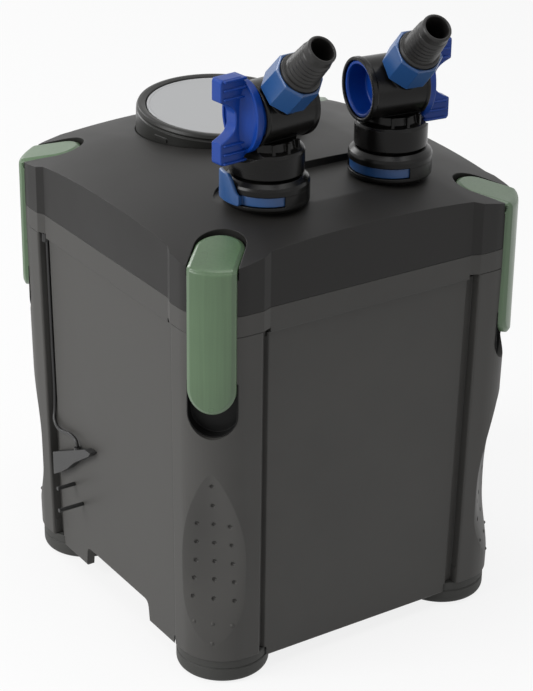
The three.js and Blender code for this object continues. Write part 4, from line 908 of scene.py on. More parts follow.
# ------------------------------------------------------------------ tub
@dataclass
class Tub:
    """The tub with its posts, grip hollows, finger wells and grooves."""

    recess: float = 4.5
    groove_w: float = 4.5
    groove_d: float = 2.5
    wall: float = 3.0
    skirt_z: float = 10.0
    arch_z: float = 25.0
    arch_half: float = 43.0
    floor_z: float = 27.0
    floor_t: float = 3.0
    cavity_r: float = 40.0
    grip: tuple[float, float, float] = (27.5, 86.0, 151.0)  # low end, deepest, high end
    grip_depth: float = 8.7
    grip_half: float = 20.5
    finger_z: float = 174.0
    finger_depth: float = 8.5
    # A grip's small pits and the bumps under them, as rows of a height and the places
    # across it.
    pits: Rows = (
        (141.6, (0,)), (126.7, (0,)), (112.2, (-10.2, 0, 10.2)), (98.2, (-11, 0, 11)),
        (84.8, (-11.6, 0, 11.6)), (72.2, (-12.6, 0, 12.6)), (59.4, (-13.2, 0, 13.2)),
    )
    bumps: Rows = ((42.8, (-12, 0, 12)), (29.8, (0,)))
    pit_ball: tuple[float, float] = (1.6, -0.2)  # radius, and how deep its centre lies
    bump_ball: tuple[float, float] = (1.3, 0.5)

    def depth(self, z: Points) -> Points:
        """Returns a grip's depth at its middle: eased sines up to the deepest level.

        Args:
            z: Heights.

        Returns:
            Depths, never quite 0.
        """
        low, deep, high = self.grip
        rise = np.sin(np.clip((z - low) / (deep - low), 0, 1) * np.pi / 2) ** 1.4
        fall = np.sin(np.clip((high - z) / (high - deep), 0, 1) * np.pi / 2) ** 1.2
        return np.maximum(0.05, self.grip_depth * np.minimum(rise, fall))

    def half(self, z: Points) -> Points:
        """Returns half of a grip's width at a height.

        Args:
            z: Heights.

        Returns:
            Half widths, never quite 0.
        """
        low, deep, high = self.grip
        rise = np.sin(np.clip(1.6 * (z - low) / (deep - low), 0, 1) * np.pi / 2) ** 0.6
        fall = np.sin(np.clip((high - z) / (high - deep), 0, 1) * np.pi / 2) ** 0.7
        return np.maximum(0.4, self.grip_half * np.minimum(rise, fall))

    def floor_of_grip(self, w: Points, z: Points) -> Points:
        """Returns how far out a grip's surface lies: the post's round less a cosine dish.

        Args:
            w: Places across the grip.
            z: Heights.

        Returns:
            Distances from the corner's centre.
        """
        surface = np.sqrt(PLAN.corner_r**2 - w**2) - PLAN.lean(z)
        dish = np.cos(np.clip(np.abs(w) / self.half(z), 0, 1) * np.pi / 2)
        return surface - self.depth(z) * dish

    def hollow(self) -> Shape:
        """Returns the cutter of a grip.

        Row i is an outline at height z_i: the dish at places half(z) sin(pi s / 2) for s
        from 1 to -1, closed outside the post. The heights crowd towards both ends.
        """
        low, _, high = self.grip
        z = low + (high - low) * (0.5 - 0.5 * np.cos(np.linspace(0, 1, 49) * np.pi))
        share = np.sin(np.linspace(1, -1, 33) * np.pi / 2)
        w = self.half(z)[:, None] * share[None, :]
        heights = np.broadcast_to(z[:, None], w.shape)
        dish = np.stack([self.floor_of_grip(w, heights), w, heights], -1)
        outer = np.stack([np.full(len(z), PLAN.corner_r + 6), 0 * z, z], -1)
        left, right = outer.copy(), outer.copy()
        left[:, 1], right[:, 1] = -self.half(z), self.half(z)
        return lofted(np.concatenate([left[:, None], right[:, None], dish], 1))

    def beads(self, rows: Rows, r: float, sink: float) -> Shape:
        """Returns small balls on a grip's surface, sunk into it by a depth.

        Args:
            rows: Heights, each with its places across the grip.
            r: The balls' radius.
            sink: How deep their centres lie.

        Returns:
            All the balls as one shape.
        """
        profile = [(r * math.sin(a), -r * math.cos(a)) for a in np.linspace(0, np.pi, 9)]
        profile[0], profile[-1] = (0.0, -r), (0.0, r)
        balls = []
        for z, places in rows:
            for w in places:
                out = float(self.floor_of_grip(np.array(w), np.array(z))) - sink
                # A little off the grid of the grip's surface, so that no points coincide.
                place = at(out, w + 0.13, z + 0.07) @ turned(11, "Z")
                balls.append(revolved(profile, 15, matrix=place))
        return reduce(Shape.__add__, balls)

    def corner_cuts(self, corner: Corner) -> list[tuple[Step, Shape]]:
        """Returns what is cut from the tub at a corner and what is put back.

        Args:
            corner: Which corner.

        Returns:
            The steps in order, each with its shape.
        """
        sx, sy = corner.value
        k = float(PLAN.shrink(0))
        px, py = (PLAN.half_x - PLAN.post) * k, (PLAN.half_y - PLAN.post) * k
        here, floor = corner.frame, PLAN.latch_floor
        flat = raised(tongue(PLAN.pocket_half, self.finger_z, PLAN.seam_z + 9), floor, 40, UPRIGHT)
        well = raised(tongue(PLAN.pocket_half, self.finger_z, PLAN.seam_z - 20),
                      floor - self.finger_depth, floor + 1, UPRIGHT)
        z0, slope = PLAN.keeper
        under = np.array([(0, 150), (floor + 2, 150), (floor + 2, z0 + 2 * slope),
                          (0, z0 - floor * slope)])
        plan = PLAN.outline(self.recess, self.groove_w, self.groove_d)
        over = PLAN.foot_h + GAP
        pad = worked("pad", rod(PLAN.foot_r, over, self.floor_z + 1, corner.foot),
                     [(Step.KEEP, raised(plan * k, 0, 60))])
        return [(Step.CUT, block((sx * px, sy * py, 0), (sx * FAR, sy * FAR, over))),
                (Step.CUT, rod(PLAN.foot_r + 1, -1, over, corner.foot)),
                (Step.CUT, flat.placed(here)),
                (Step.CUT, clipped(well, raised(under, -30, 30, SIDEWAYS)).placed(here)),
                (Step.CUT, self.hollow().placed(here)),
                (Step.CUT, self.beads(self.pits, *self.pit_ball).placed(here)),
                (Step.JOIN, self.beads(self.bumps, *self.bump_ball).placed(here)),
                (Step.JOIN, shape_of(pad))]

    def build_liner(self, corner: Corner) -> bpy.types.Object:
        """Makes a near-black cup in the finger well under a latch, painted shade that darkens the
        well, and returns it.

        Args:
            corner: Which corner.

        Returns:
            The cup's object.
        """
        floor, half = PLAN.latch_floor, PLAN.pocket_half
        deep = floor - self.finger_depth
        z0, slope = PLAN.keeper
        top, slack, wall = z0 - 0.3, 0.06, 0.7
        under = np.array([(0, 150), (floor, 150), (floor, top), (0, top - floor * slope)])
        cup = raised(tongue(half - slack, self.finger_z + slack, 225), deep + slack, floor - 0.9,
                     UPRIGHT)
        room = raised(tongue(half - wall, self.finger_z + wall, 230), deep + wall, floor + 5,
                      UPRIGHT)
        mesh = worked("liner", clipped(cup, raised(under, -30, 30, SIDEWAYS)), [(Step.CUT, room)])
        # A black cup where the well is only in shade: painted shade.
        return piece(f"well_liner_{corner.label}", shape_of(mesh).placed(corner.frame),
                     Finish.INNER, "tub")

    def build(self) -> bpy.types.Object:
        """Makes the tub and returns it."""
        plan = PLAN.outline(self.recess, self.groove_w, self.groove_d)
        top = PLAN.seam_z
        shell = lofted(np.stack([
            PLAN.section(plan, self.skirt_z, float(PLAN.shrink(self.skirt_z)) - 0.005),
            PLAN.section(plan, self.skirt_z + 0.8),
            PLAN.section(plan, top - 0.5),
            PLAN.section(plan, top, 0.997),
        ]))
        mouth = PLAN.inset(self.recess + self.groove_d + self.wall, self.cavity_r)
        floor = self.floor_z + self.floor_t
        inside = lofted(np.stack([PLAN.section(mouth, floor), PLAN.section(mouth, top + 9, 1)]))
        low = float(PLAN.shrink(0))
        under = lofted(np.stack([PLAN.section(mouth, -1, low),
                                 PLAN.section(mouth, self.floor_z, low)]))
        h = self.arch_half
        arch = softened([(-h, -1), (h, -1), (h - 3, self.arch_z), (3 - h, self.arch_z)],
                        [0, 0, 5, 5])
        steps = [(Step.CUT, inside), (Step.CUT, under),
                 (Step.CUT, raised(arch, -FAR, FAR, UPRIGHT))]
        lip, high = top - 3 - GAP, top + 1
        side = PLAN.half_x - PLAN.skirt_recess - 5 - GAP
        end = PLAN.half_y - PLAN.skirt_recess - 5 - GAP
        px, py = PLAN.half_x - PLAN.post, PLAN.half_y - PLAN.post
        gx = PLAN.half_x - self.recess - self.groove_d
        gy = PLAN.half_y - self.recess - self.groove_d
        wide = self.groove_w + 1.2
        for s in (-1, 1):
            steps += [(Step.CUT, block((s * side, -py, lip), (s * FAR, py, high))),
                      (Step.CUT, block((-px, s * end, lip), (px, s * FAR, high)))]
            for t in (-1, 1):
                steps += [
                    (Step.CUT, block((s * gx, t * (py - wide), top - 6), (s * FAR, t * py, high))),
                    (Step.CUT, block((t * (px - wide), s * gy, top - 6), (t * px, s * FAR, high))),
                ]
        for corner in Corner:
            steps += self.corner_cuts(corner)
        nodes = ["container"] + [f"column_{corner.label}" for corner in Corner]
        return piece("tub_shell", worked("tub_shell", shell, steps), Finish.TUB, "tub", nodes,
                     smooth=28)


def shape_of(mesh: bpy.types.Mesh) -> Shape:
    """Returns a mesh as a shape in millimetres, and removes the mesh.

    Args:
        mesh: A mesh in metres.

    Returns:
        Its shape.
    """
    co = np.empty(len(mesh.vertices) * 3, np.float32)
    mesh.vertices.foreach_get("co", co)
    faces = [tuple(face.vertices) for face in mesh.polygons]
    bpy.data.meshes.remove(mesh)
    return Shape(co.reshape(-1, 3).astype(float) / MM, faces)


def clipped(base: Shape, within: Shape) -> Shape:
    """Returns what two shapes have in common."""
    return shape_of(worked("clipped", base, [(Step.KEEP, within)]))


@dataclass
class Foot:
    """One round rubber foot with a rolled lower edge and a fine seam."""

    roll: float = 9.0
    seam: tuple[float, float] = (10.5, 0.7)  # height and depth of the seam

    def build(self, corner: Corner) -> bpy.types.Object:
        """Makes the foot of a corner and returns it.

        Args:
            corner: Which corner.

        Returns:
            The foot's object.
        """
        r, top = PLAN.foot_r, PLAN.foot_h
        z, depth = self.seam
        profile = softened(
            [(0, 0), (r, 0), (r, z - 0.9), (r - depth, z - 0.3), (r - depth, z + 0.3),
             (r, z + 0.9), (r, top), (0, top)],
            [0, self.roll, 0.2, 0.2, 0.2, 0.2, 0.8, 0], steps=9, closed=False)
        name = f"foot_{corner.label}"
        return piece(f"{name}_rubber", revolved(profile, 112, matrix=corner.foot), Finish.FOOT,
                     "tub", [name])


# ------------------------------------------------------------------ head
@dataclass
class Head:
    """The band under the head and the crowned shell with its shelf and pockets."""

    band_z0: float = 241.1
    band_h: float = 13.0
    wall: float = 4.0
    shelf_z: float = 299.0
    shelf_half: float = 74.0
    shelf_back: float = -40.0
    shelf_r: float = 28.0
    plug_depth: float = 13.0
    well_r: float = 55.8
    well_depth: float = 31.3
    pocket_r: float = 21.27

    @property
    def shell_z0(self) -> float:
        """Returns the height of the shell's lower edge."""
        return self.band_z0 + self.band_h + GAP

    @property
    def room_plan(self) -> Points:
        """Returns the outline of the room inside the head."""
        return PLAN.inset(26, 30)

    def under_crown(self, drop: float, cells: int = 72) -> Shape:
        """Returns the block under the crown, lowered by a wall.

        Each cross-section at one y is the crown's height over x, closed along a low line.

        Args:
            drop: How far it is lowered.
            cells: How many cells the grid has each way.

        Returns:
            The block.
        """
        x = np.linspace(-1.1, 1.1, cells + 1) * PLAN.half_x
        y = np.linspace(-1.1, 1.1, cells + 1) * PLAN.half_y
        gx, gy = np.meshgrid(x, y)
        top = np.stack([gx, gy, PLAN.crown(gx, gy) - drop], -1)
        right, left = top[:, -1:].copy(), top[:, :1].copy()
        right[..., 2] = left[..., 2] = 200
        return lofted(np.concatenate([top, right, left], 1))

    def pocket(self) -> Shape:
        """Returns what is cut round a latch: a round end, a channel and the flat outside."""
        (pin_u, pin_z), half = PLAN.pin, PLAN.pocket_half
        floor, centre = pin_z - self.pocket_r, pin_u - self.pocket_r + half
        shape = rod(half, floor, HIGH, at(centre, 0, 0))
        for low, high in (
            ((centre, -half, floor), (pin_u + 5, half, HIGH)),
            ((centre, -half, 277), (PAST, half, HIGH)),
            ((PLAN.latch_floor, -half, 230), (PAST, half, HIGH)),
        ):
            shape = shape_of(worked("pocket", shape, [(Step.JOIN, block(low, high))]))
        return shape

    def build_shell(self, primer: Matrix, tap_x: float, tap_y: float) -> bpy.types.Object:
        """Makes the crowned shell.

        Args:
            primer: The frame of the priming button.
            tap_x: Distance of a tap from the middle.
            tap_y: Where the taps stand along Y.

        Returns:
            The shell's object.
        """
        plan = PLAN.outline(PLAN.skirt_recess, PLAN.skirt_step, 0)
        body = raised(plan, self.shell_z0, HIGH)
        half, back = self.shelf_half, self.shelf_back
        shelf = softened([(-half, -FAR), (half, -FAR), (half, back), (-half, back)],
                         [0, 0, self.shelf_r, self.shelf_r], steps=16)
        room = self.room_plan
        inner = clipped(raised(room, self.shell_z0 - 9, HIGH), self.under_crown(self.wall + 4, 24))
        low_roof = block((-half - 5, -FAR, self.shelf_z - self.wall),
                         (half + 5, back + 5, HIGH + 10))
        inner = shape_of(worked("inner", inner, [(Step.CUT, low_roof)]))
        steps = [
            (Step.KEEP, self.under_crown(0)),
            (Step.CUT, inner),
            (Step.JOIN, clipped(rod(self.well_r + 3, -self.well_depth - 3, 5, primer),
                                self.under_crown(0.2, 24))),
            (Step.CUT, raised(shelf, self.shelf_z, HIGH + 10)),
            (Step.CUT, rod(self.well_r, -self.well_depth, 20, primer)),
        ]
        for side in Side:
            bore = rod(14.1, self.shell_z0 - 1, HIGH + 10, at(side.value * tap_x, tap_y, 0))
            steps.append((Step.CUT, bore))
        pocket = self.pocket()
        steps += [(Step.CUT, pocket.placed(corner.frame)) for corner in Corner]
        return piece("head_crown", worked("head_crown", body, steps), Finish.HEAD, "tub",
                     ["head_shell"], smooth=24)

    def build_band(self) -> bpy.types.Object:
        """Makes the band, with lips over the panels and a rim in the tub's mouth."""
        plan = PLAN.outline(PLAN.skirt_recess, PLAN.skirt_step, 0)
        top = self.band_z0 + self.band_h
        steps = []
        ox, oy = PLAN.half_x - PLAN.skirt_recess, PLAN.half_y - PLAN.skirt_recess
        rx = PLAN.half_x - PLAN.post - PLAN.skirt_step - GAP
        ry = PLAN.half_y - PLAN.post - PLAN.skirt_step - GAP
        for s in (-1, 1):
            for low, high in (((s * (ox - 5), -ry), (s * ox, ry)),
                              ((-rx, s * (oy - 5)), (rx, s * oy))):
                lip = block((*low, self.band_z0 - 3), (*high, self.band_z0 + 1))
                steps.append((Step.JOIN, lip))
        rim, hole = PLAN.inset(10.8, 39), PLAN.inset(15.8, 35)
        steps.append((Step.JOIN, raised(rim, self.band_z0 - self.plug_depth, self.band_z0 + 1)))
        steps.append((Step.CUT, raised(hole, self.band_z0 - 20, self.band_z0 + 4)))
        steps.append((Step.CUT, raised(self.room_plan, self.band_z0 + 10, top + 1)))
        half = PLAN.pocket_half
        for corner in Corner:
            clear = block((PLAN.latch_floor, -half, 200), (PAST, half, HIGH))
            steps.append((Step.CUT, clear.placed(corner.frame)))
        band = worked("head_band", raised(plan, self.band_z0, top), steps)
        return piece("head_band", band, Finish.BAND, "tub", ["head_base"], smooth=28)


# ------------------------------------------------------------------ latches
@dataclass
class Latch:
    """A corner latch: a rounded top, a fold, and a long side with a half-round end."""

    width: float = 29.5
    thick: float = 5.0
    face_u: float = 32.5
    bow: float = 3.0
    low_z: float = 192.0
    fold_z: float = 284.0
    top_rise: float = 8.0
    top_length: float = 39.0
    chamfer: float = 2.3
    crease: float = 1.3  # how far the fold dips at its middle

    def surface(self, s: Points, w: Points, inset: Points) -> Points:
        """Returns points of the bent strip.

        s runs from the top's inner end over the fold down the side, and w across. Before
        the fold a point lies on the sloping top, whose outer edge follows the bow of the
        side, and after it on the side, bowed by (w/half)^2. inset moves it inwards along
        the normal, which turns from up to outwards over 5 mm at the fold.

        Args:
            s: Distances along the strip.
            w: Distances across it.
            inset: Depths under its face.

        Returns:
            Points, in the corner's frame.
        """
        half = self.width / 2
        edge = self.face_u - self.bow * (w / half) ** 2
        along = np.clip(s / self.top_length, 0, 1)
        inner_u = self.face_u - self.top_length
        u = inner_u + along * (edge - inner_u)
        z = self.fold_z + self.top_rise * (self.face_u - u) / self.top_length
        z = z - self.top_rise * (self.face_u - edge) / self.top_length * along
        z = z - np.maximum(0, s - self.top_length)
        z = z - self.crease * (1 - (w / half) ** 2) * np.exp(-np.abs(s - self.top_length) / 14)
        turn = 0.5 + 0.5 * np.tanh((s - self.top_length) / 1.3)
        slope = self.top_rise / self.top_length
        lean = math.hypot(1, slope)
        nu = turn + (1 - turn) * slope / lean
        nz = (1 - turn) / lean
        spread = np.maximum(nu, nz)
        soft = 1.1 * np.exp(-(((s - self.top_length) / 1.6) ** 2))
        depth = inset + soft
        return np.stack([u - nu / spread * depth, w, z - nz / spread * depth], -1)

    def strip(self) -> Shape:
        """Returns the latch's body.

        Its outline in s and w is a strip with half-round ends. Each ring is that outline
        drawn in by a distance, so rings run from the middle of the face over a bevel and
        the edge to the middle of the back.
        """
        r = self.width / 2
        end = self.top_length + self.fold_z - self.low_z
        fold = self.top_length + np.array([-8, -4, -2.2, -1.2, -0.5, 0, 0.5, 1.2, 2.2, 4, 8])
        straight = np.sort(np.concatenate([np.linspace(r, end - r, 40), fold]))
        arc = np.radians(np.linspace(-90, 90, 33)[1:-1])
        low = np.column_stack([np.full(31, end - r), np.cos(arc), np.sin(arc)])
        high = np.column_stack([np.full(31, r), -np.cos(arc), -np.sin(arc)])
        minus = np.column_stack([straight, 0 * straight, 0 * straight - 1])
        plus = np.column_stack([straight[::-1], 0 * straight, 0 * straight + 1])
        rim = np.vstack([minus, low, plus, high])
        c, t = self.chamfer, self.thick
        rings = [(r, 0.0)] + [(d, 0.0) for d in np.linspace(0.86 * r, c + 1.2, 7)]
        rings += [(c + 0.1, 0), (c, 0.03), (c - 0.12, 0.1), (0.45, 1.12), (0.12, 1.45), (0, 2.0),
                  (0, t - 0.5), (0.15, t - 0.15), (0.5, t), (0.5 * r, t), (r, t)]
        draw, sink = np.array(rings).T[:, :, None]
        reach = r - draw
        s = rim[None, :, 0] + reach * rim[None, :, 1]
        w = reach * rim[None, :, 2]
        points = self.surface(s, w, np.broadcast_to(sink, s.shape))
        return Shape(points.reshape(-1, 3), quads(len(rings), len(rim), False, True))

    def build(self, corner: Corner) -> bpy.types.Object:
        """Makes the latch of a corner and returns it.

        Args:
            corner: Which corner.

        Returns:
            The latch's object.
        """
        across = at(PLAN.pin[0], 0, PLAN.pin[1]) @ turned(90, "X")
        half = self.width / 2 - 6
        knuckle = revolved([(2.0, -half), (4, -half), (4, half), (2.0, half)], 48, matrix=across)
        back = self.face_u - self.thick
        tip = back - 3.6
        keeper_z, slope = PLAN.keeper
        top = keeper_z + (tip - PLAN.latch_floor) * slope - 2 * GAP
        barb = np.array([(back + 1, top - 7), (back + 1, top + 2.2), (back, top + 2.2),
                         (tip, top), (tip, top - 3.2)])
        shape = self.strip() + knuckle + raised(barb, -7.4, 7.4, SIDEWAYS)
        name = f"latch_{corner.label}"
        return piece(f"{name}_cover", shape.placed(corner.frame), Finish.LATCH, name, [name],
                     smooth=24)


# ------------------------------------------------------------------ primer
@dataclass
class Primer:
    """The priming button: bezel with its lug, silver disc and the button under it."""

    y: float = 51.0
    z: float = 315.8
    tilt: float = 3.4
    disc_r: float = 48.5
    disc_t: float = 1.2
    rim: float = 6.2
    height: float = 31.0
    cap_t: float = 3.0
    stroke: float = 8.0
    lug_angle: float = -166.0
    lug_half: tuple[float, float] = (5.5, 1.4)
    lug_z: float = -9.4

    @property
    def frame(self) -> Matrix:
        """Returns the frame of the bezel's top."""
        return at(0, self.y, self.z) @ turned(self.tilt, "X")

    def build(self) -> None:
        """Makes the bezel, the disc and the button."""
        inner, outer = self.disc_r + 0.6, self.disc_r + 0.6 + self.rim
        floor = -self.height + 2.5
        shell = softened(
            [(6, -self.height), (outer, -self.height), (outer, -4.6), (outer - 0.8, -4.0),
             (outer - 0.8, -3.2), (outer, -2.6), (outer - 1.0, -0.3), (outer - 3.0, 0),
             (inner + 0.4, -0.5), (inner, -1.4), (inner, floor), (6, floor)],
            [0, 0.6, 0.2, 0.2, 0.2, 0.5, 0.8, 1.0, 0.4, 0.3, 0.3, 0], steps=4)
        top = -self.disc_t - GAP - 1
        cup_top = top - self.cap_t - self.stroke - 1
        cup = [(20.4, floor - 1), (22.4, floor - 1), (22.4, cup_top), (20.4, cup_top)]
        bezel = revolved(shell, 160) + revolved(cup, 96)
        w, h = self.lug_half
        lug = softened([(-w, -h), (w, -h), (w, h), (-w, h)], 0.8)
        where = turned(self.lug_angle, "Z") @ at(outer + 0.1, 0, self.lug_z) @ UPRIGHT
        bezel = bezel + raised(lug, -1.5, 0.35, where)
        piece("primer_bezel_ring", bezel.placed(self.frame), Finish.BEZEL, "tub",
              ["primer_bezel"])
        r, z0 = self.disc_r, top + GAP
        z1 = z0 + self.disc_t
        face = softened([(0, z0), (r, z0), (r, z1), (r - 1.6, z1), (r - 2.2, z1 - 0.25),
                         (0, z1 - 0.25)], [0, 0.2, 0.4, 0.3, 0.3, 0], steps=3, closed=False)
        piece("primer_disc_foil", revolved(face, 160, matrix=self.frame), Finish.DISC, "primer",
              ["primer_disc"])
        under, low = top - self.cap_t, top - 9
        skirt = softened([(0, under), (r - 3.3, under), (r - 3.3, low), (r - 0.3, low),
                          (r - 0.3, top), (0, top)], [0, 0.5, 0.4, 0.4, 0.5, 0], closed=False)
        stem = rod(8, low - 0.3, top - 1, edge=0.4)
        piece("primer_button_cap", (revolved(skirt, 128) + stem).placed(self.frame),
              Finish.INNER, "primer", ["primer_button"])


# ------------------------------------------------------------------ taps
@dataclass
class Tap:
    """One swivel tap: collar, release lever, body, valve plug, union nut and hose tail."""

    side: Side
    x: float = 45.4
    y: float = -71.0
    turn: float = 6.0  # degrees that each tap stands turned towards the other
    shelf_z: float = 299.0
    collar_r: float = 26.0
    collar_h: float = 18.0
    neck_r: float = 22.6
    barrel_z: float = 355.6
    barrel_r: float = 19.9
    barrel_in: float = 24.5
    barrel_out: float = 15.4
    plug_r: float = 17.2
    cup_r: float = 15.0
    cup_depth: float = 13.0
    handle_high: float = 22.4
    handle_wide: float = 17.0
    blade_half: float = 26.0
    blade_reach: float = 19.2
    blade_waist: float = 7.9
    notch_half: float = 12.5
    blade_t: float = 9.0
    boss_r: float = 12.4
    boss_end: float = 34.0
    nut_start: float = 20.7
    nut_end: float = 41.2
    nut_flats: float = 28.8
    flange_r: float = 12.9
    tail_angle: float = 45.4
    tail_bore: float = 7.2
    tail_end: float = 68.3
    tail_roots: tuple[float, float] = (10.9, 9.8)  # radii of its cone's first and last ridge
    plate_t: float = 3.5
    flare: tuple[float, float] = (21.2, 9.6)  # half length of the blade's root, and its spread
    fins: tuple[float, ...] = (-62, -90, -118, 62, 118)  # degrees round the body
    lever_arc: float = 44.0
    lever_z: tuple[float, float] = (6.2, 18.0)  # heights of the tab's low and high end
    lever_from: dict[Side, float] = field(
        default_factory=lambda: {Side.LEFT: 158.0, Side.RIGHT: 60.0})

    @property
    def stand(self) -> Matrix:
        """Returns the frame of the tap's upright axis."""
        return at(self.side.value * self.x, self.y, 0)

    @property
    def facing(self) -> Matrix:
        """Returns the upright frame of the body, turned towards the other tap."""
        return self.stand @ turned(-self.turn * self.side.value, "Z")

    @property
    def along(self) -> Matrix:
        """Returns the frame whose Z points to the barrel's outward end."""
        return self.facing @ at(0, 0, self.barrel_z) @ turned(90 * self.side.value, "Y")

    @property
    def uphill(self) -> Matrix:
        """Returns the frame whose Z points along the hose tail."""
        return self.facing @ at(0, 0, self.barrel_z) @ turned(90 - self.tail_angle, "X")

    def build_collar(self) -> None:
        """Makes the locking collar: rings below and above the windows, and what is between."""
        z0 = self.shelf_z + GAP
        z1 = z0 + self.collar_h
        inner, r = self.neck_r - 6, self.collar_r
        sill, head = z0 + 4, z0 + 10.5
        low = softened([(inner, z0), (r - 1.5, z0), (r, z0 + 2), (r, sill), (inner, sill)],
                       [0, 0.5, 0.8, 0.3, 0])
        high = softened([(inner, head), (r, head), (r, z1 - 4.2), (r - 0.7, z1 - 2.6),
                         (r - 3.4, z1 - 0.2), (r - 4.6, z1), (inner, z1)],
                        [0, 0.3, 1.2, 1.2, 1.0, 0.8, 0])
        core = [(inner, sill - 0.1), (inner + 3.6, sill - 0.1), (inner + 3.6, head + 0.1),
                (inner, head + 0.1)]
        wall = [(r - 0.8, sill - 0.1), (r, sill - 0.1), (r, head + 0.1), (r - 0.8, head + 0.1)]
        shape = revolved(low, 128) + revolved(high, 128) + revolved(core, 96)
        for arc in ((132.0, 146.0), (262.0, 380.0)):
            shape = shape + revolved(wall, 128, arc)
        name = f"tap_collar_{self.side.label}"
        piece(f"{name}_ring", shape.placed(self.stand), Finish.TAP, "tub", [name])

    def build_lever(self) -> None:
        """Makes the release lever: a ring in the collar and a curved tab outside it.

        The tab is a slab between two radii over an arc, whose top edge falls from its
        high end in a smooth step: h(a) = low + (high - low) (1 + cos(pi a)) / 2.
        """
        z0 = self.shelf_z + GAP + 4 + GAP
        z1 = z0 + 5.9
        r_in, r_out = self.neck_r - 2, self.collar_r - 1.2
        band = softened([(r_in, z0), (r_out, z0), (r_out, z1), (r_in, z1)], 0.4)
        shape = revolved(band, 128)
        first = self.lever_from[self.side]
        t = np.linspace(0, 1, 41)
        a = np.radians(first + self.lever_arc * t)
        near, far = self.collar_r + 0.4, self.collar_r + 2.8
        ends = np.clip(np.minimum(t, 1 - t) / 0.045, 0, 1)
        corner = 1.6 * (1 - np.sqrt(np.clip(1 - (1 - ends) ** 2, 0, 1)))
        short, tall = self.lever_z
        top = z0 + tall - corner
        if self.side is Side.LEFT:
            fall = np.clip((t - 0.52) / 0.48, 0, 1)
            top = z0 + short + (tall - short) * (0.5 + 0.5 * np.cos(np.pi * fall)) - corner
        low = z0 + corner * 0.5
        rows = [(near, low + 0.4), (near + 0.4, low), (far - 0.4, low), (far, low + 0.4),
                (far, top - 0.6), (far - 0.6, top), (near + 0.5, top), (near, top - 0.5)]
        grid = np.stack([np.stack([r * np.cos(a), r * np.sin(a), z], -1) for r, z in rows], 1)
        tab = lofted(grid)
        link = [(r_out - 1, z0 + 0.2), (near + 0.3, z0 + 0.2), (near + 0.3, z1 - 0.2),
                (r_out - 1, z1 - 0.2)]
        shape = shape + tab + revolved(link, 128, (first + 0.5, first + self.lever_arc - 0.5))
        name = f"lock_ring_{self.side.label}"
        piece(f"{name}_lever", shape.placed(self.stand), Finish.LEVER, name, [name])

    def build_body(self) -> None:
        """Makes the tap's body: drum, waist, hollow barrel, boss and the ribs between them."""
        z1 = self.shelf_z + GAP + self.collar_h
        top = self.barrel_z - self.barrel_r
        r = self.neck_r
        neck = softened(
            [(0, z1 + GAP), (r - 2, z1 + GAP), (r, z1 + 1.8), (r, top - 3.6), (r - 0.9, top - 2.0),
             (r - 4.4, top - 0.6), (r - 5.2, top + 4), (0, top + 4)],
            [0, 0.6, 0.8, 0.9, 0.8, 1.0, 0.5, 0], closed=False)
        swept = math.hypot(self.blade_half, self.blade_t / 2 + 1.1) + 0.4
        drum = worked("drum", revolved(neck, 128, matrix=self.facing),
                      [(Step.CUT, rod(swept, self.barrel_out, r + 2, self.along))])
        b, low, high = self.barrel_r, -self.barrel_in, self.barrel_out
        bore = self.plug_r + 0.4
        barrel = softened(
            [(bore, low), (b, low), (b, low + 3), (b - 0.7, low + 3.8), (b - 0.7, high - 2.8),
             (b, high - 2), (b, high), (bore, high)],
            [0.5, 0.8, 0.4, 0.4, 0.4, 0.4, 0.8, 0.5], steps=3)
        inner, outer, end = self.tail_bore, self.boss_r, self.boss_end
        boss = revolved(softened([(inner, 14), (outer, 14), (outer, end), (inner, end)], 0.5), 72,
                        matrix=self.uphill)
        spigot = revolved([(9, 265), (13.6, 265), (13.6, z1 + 1), (9, z1 + 1)], 72,
                          matrix=self.stand)
        shape = revolved(barrel, 144, matrix=self.along) + boss + shape_of(drum) + spigot
        for angle in self.fins:
            fin = block((r - 6.5, -0.9, top - 3.2), (r - 2.2, 0.9, top + 4.6))
            shape = shape + fin.placed(self.facing @ turned(angle, "Z"))
        name = f"tap_body_{self.side.label}"
        piece(f"{name}_moulding", shape, Finish.TAP, "tub", [name], smooth=36)

    def build_plug(self) -> None:
        """Makes the valve plug: a cup at its inner end, an oval plate and a horned blade."""
        inner, face = -self.barrel_in + 1.2, self.barrel_out + 0.4
        c = self.cup_r
        core = softened(
            [(0, inner + self.cup_depth), (c - 0.6, inner + self.cup_depth), (c, inner + 1.2),
             (c + 0.5, inner), (self.plug_r, inner), (self.plug_r, face + 1), (0, face + 1)],
            [0, 1.2, 0.6, 0.4, 0.5, 0, 0], closed=False)
        r, t = self.handle_high, self.plate_t
        plate = softened(
            [(0, face), (r, face), (r, face + t + 1.5), (r - 2.2, face + t + 1.5),
             (r - 2.6, face + t), (0, face + t)], [0, 0.9, 0.8, 0.6, 0.8, 0], closed=False)
        oval = Matrix.Diagonal((1, self.handle_wide / r, 1, 1))
        shape = revolved(core, 112) + revolved(plate, 144, matrix=oval)
        root, high = face + t - 0.5, self.blade_half
        tip, waist = face + t + self.blade_reach - 0.2, face + t + self.blade_waist
        k = np.linspace(1, -1, 41)
        notch = np.column_stack([self.notch_half * k, waist + (tip - waist) * np.abs(k) ** 3])
        corners = softened([(r - 1, root), (high, root + 4.5), (high, tip), (high - 6, tip)],
                           [0, 1.5, 2.4, 0], closed=False)
        outline = np.vstack([corners, notch, (corners * (-1, 1))[::-1]])
        upright = turned(90, "Z") @ UPRIGHT
        half = self.blade_t / 2
        blade = raised(outline, -half, half, upright)
        a = np.linspace(0, 2 * np.pi, 73)[:-1]
        t = np.linspace(0, 1, 12)[:, None]
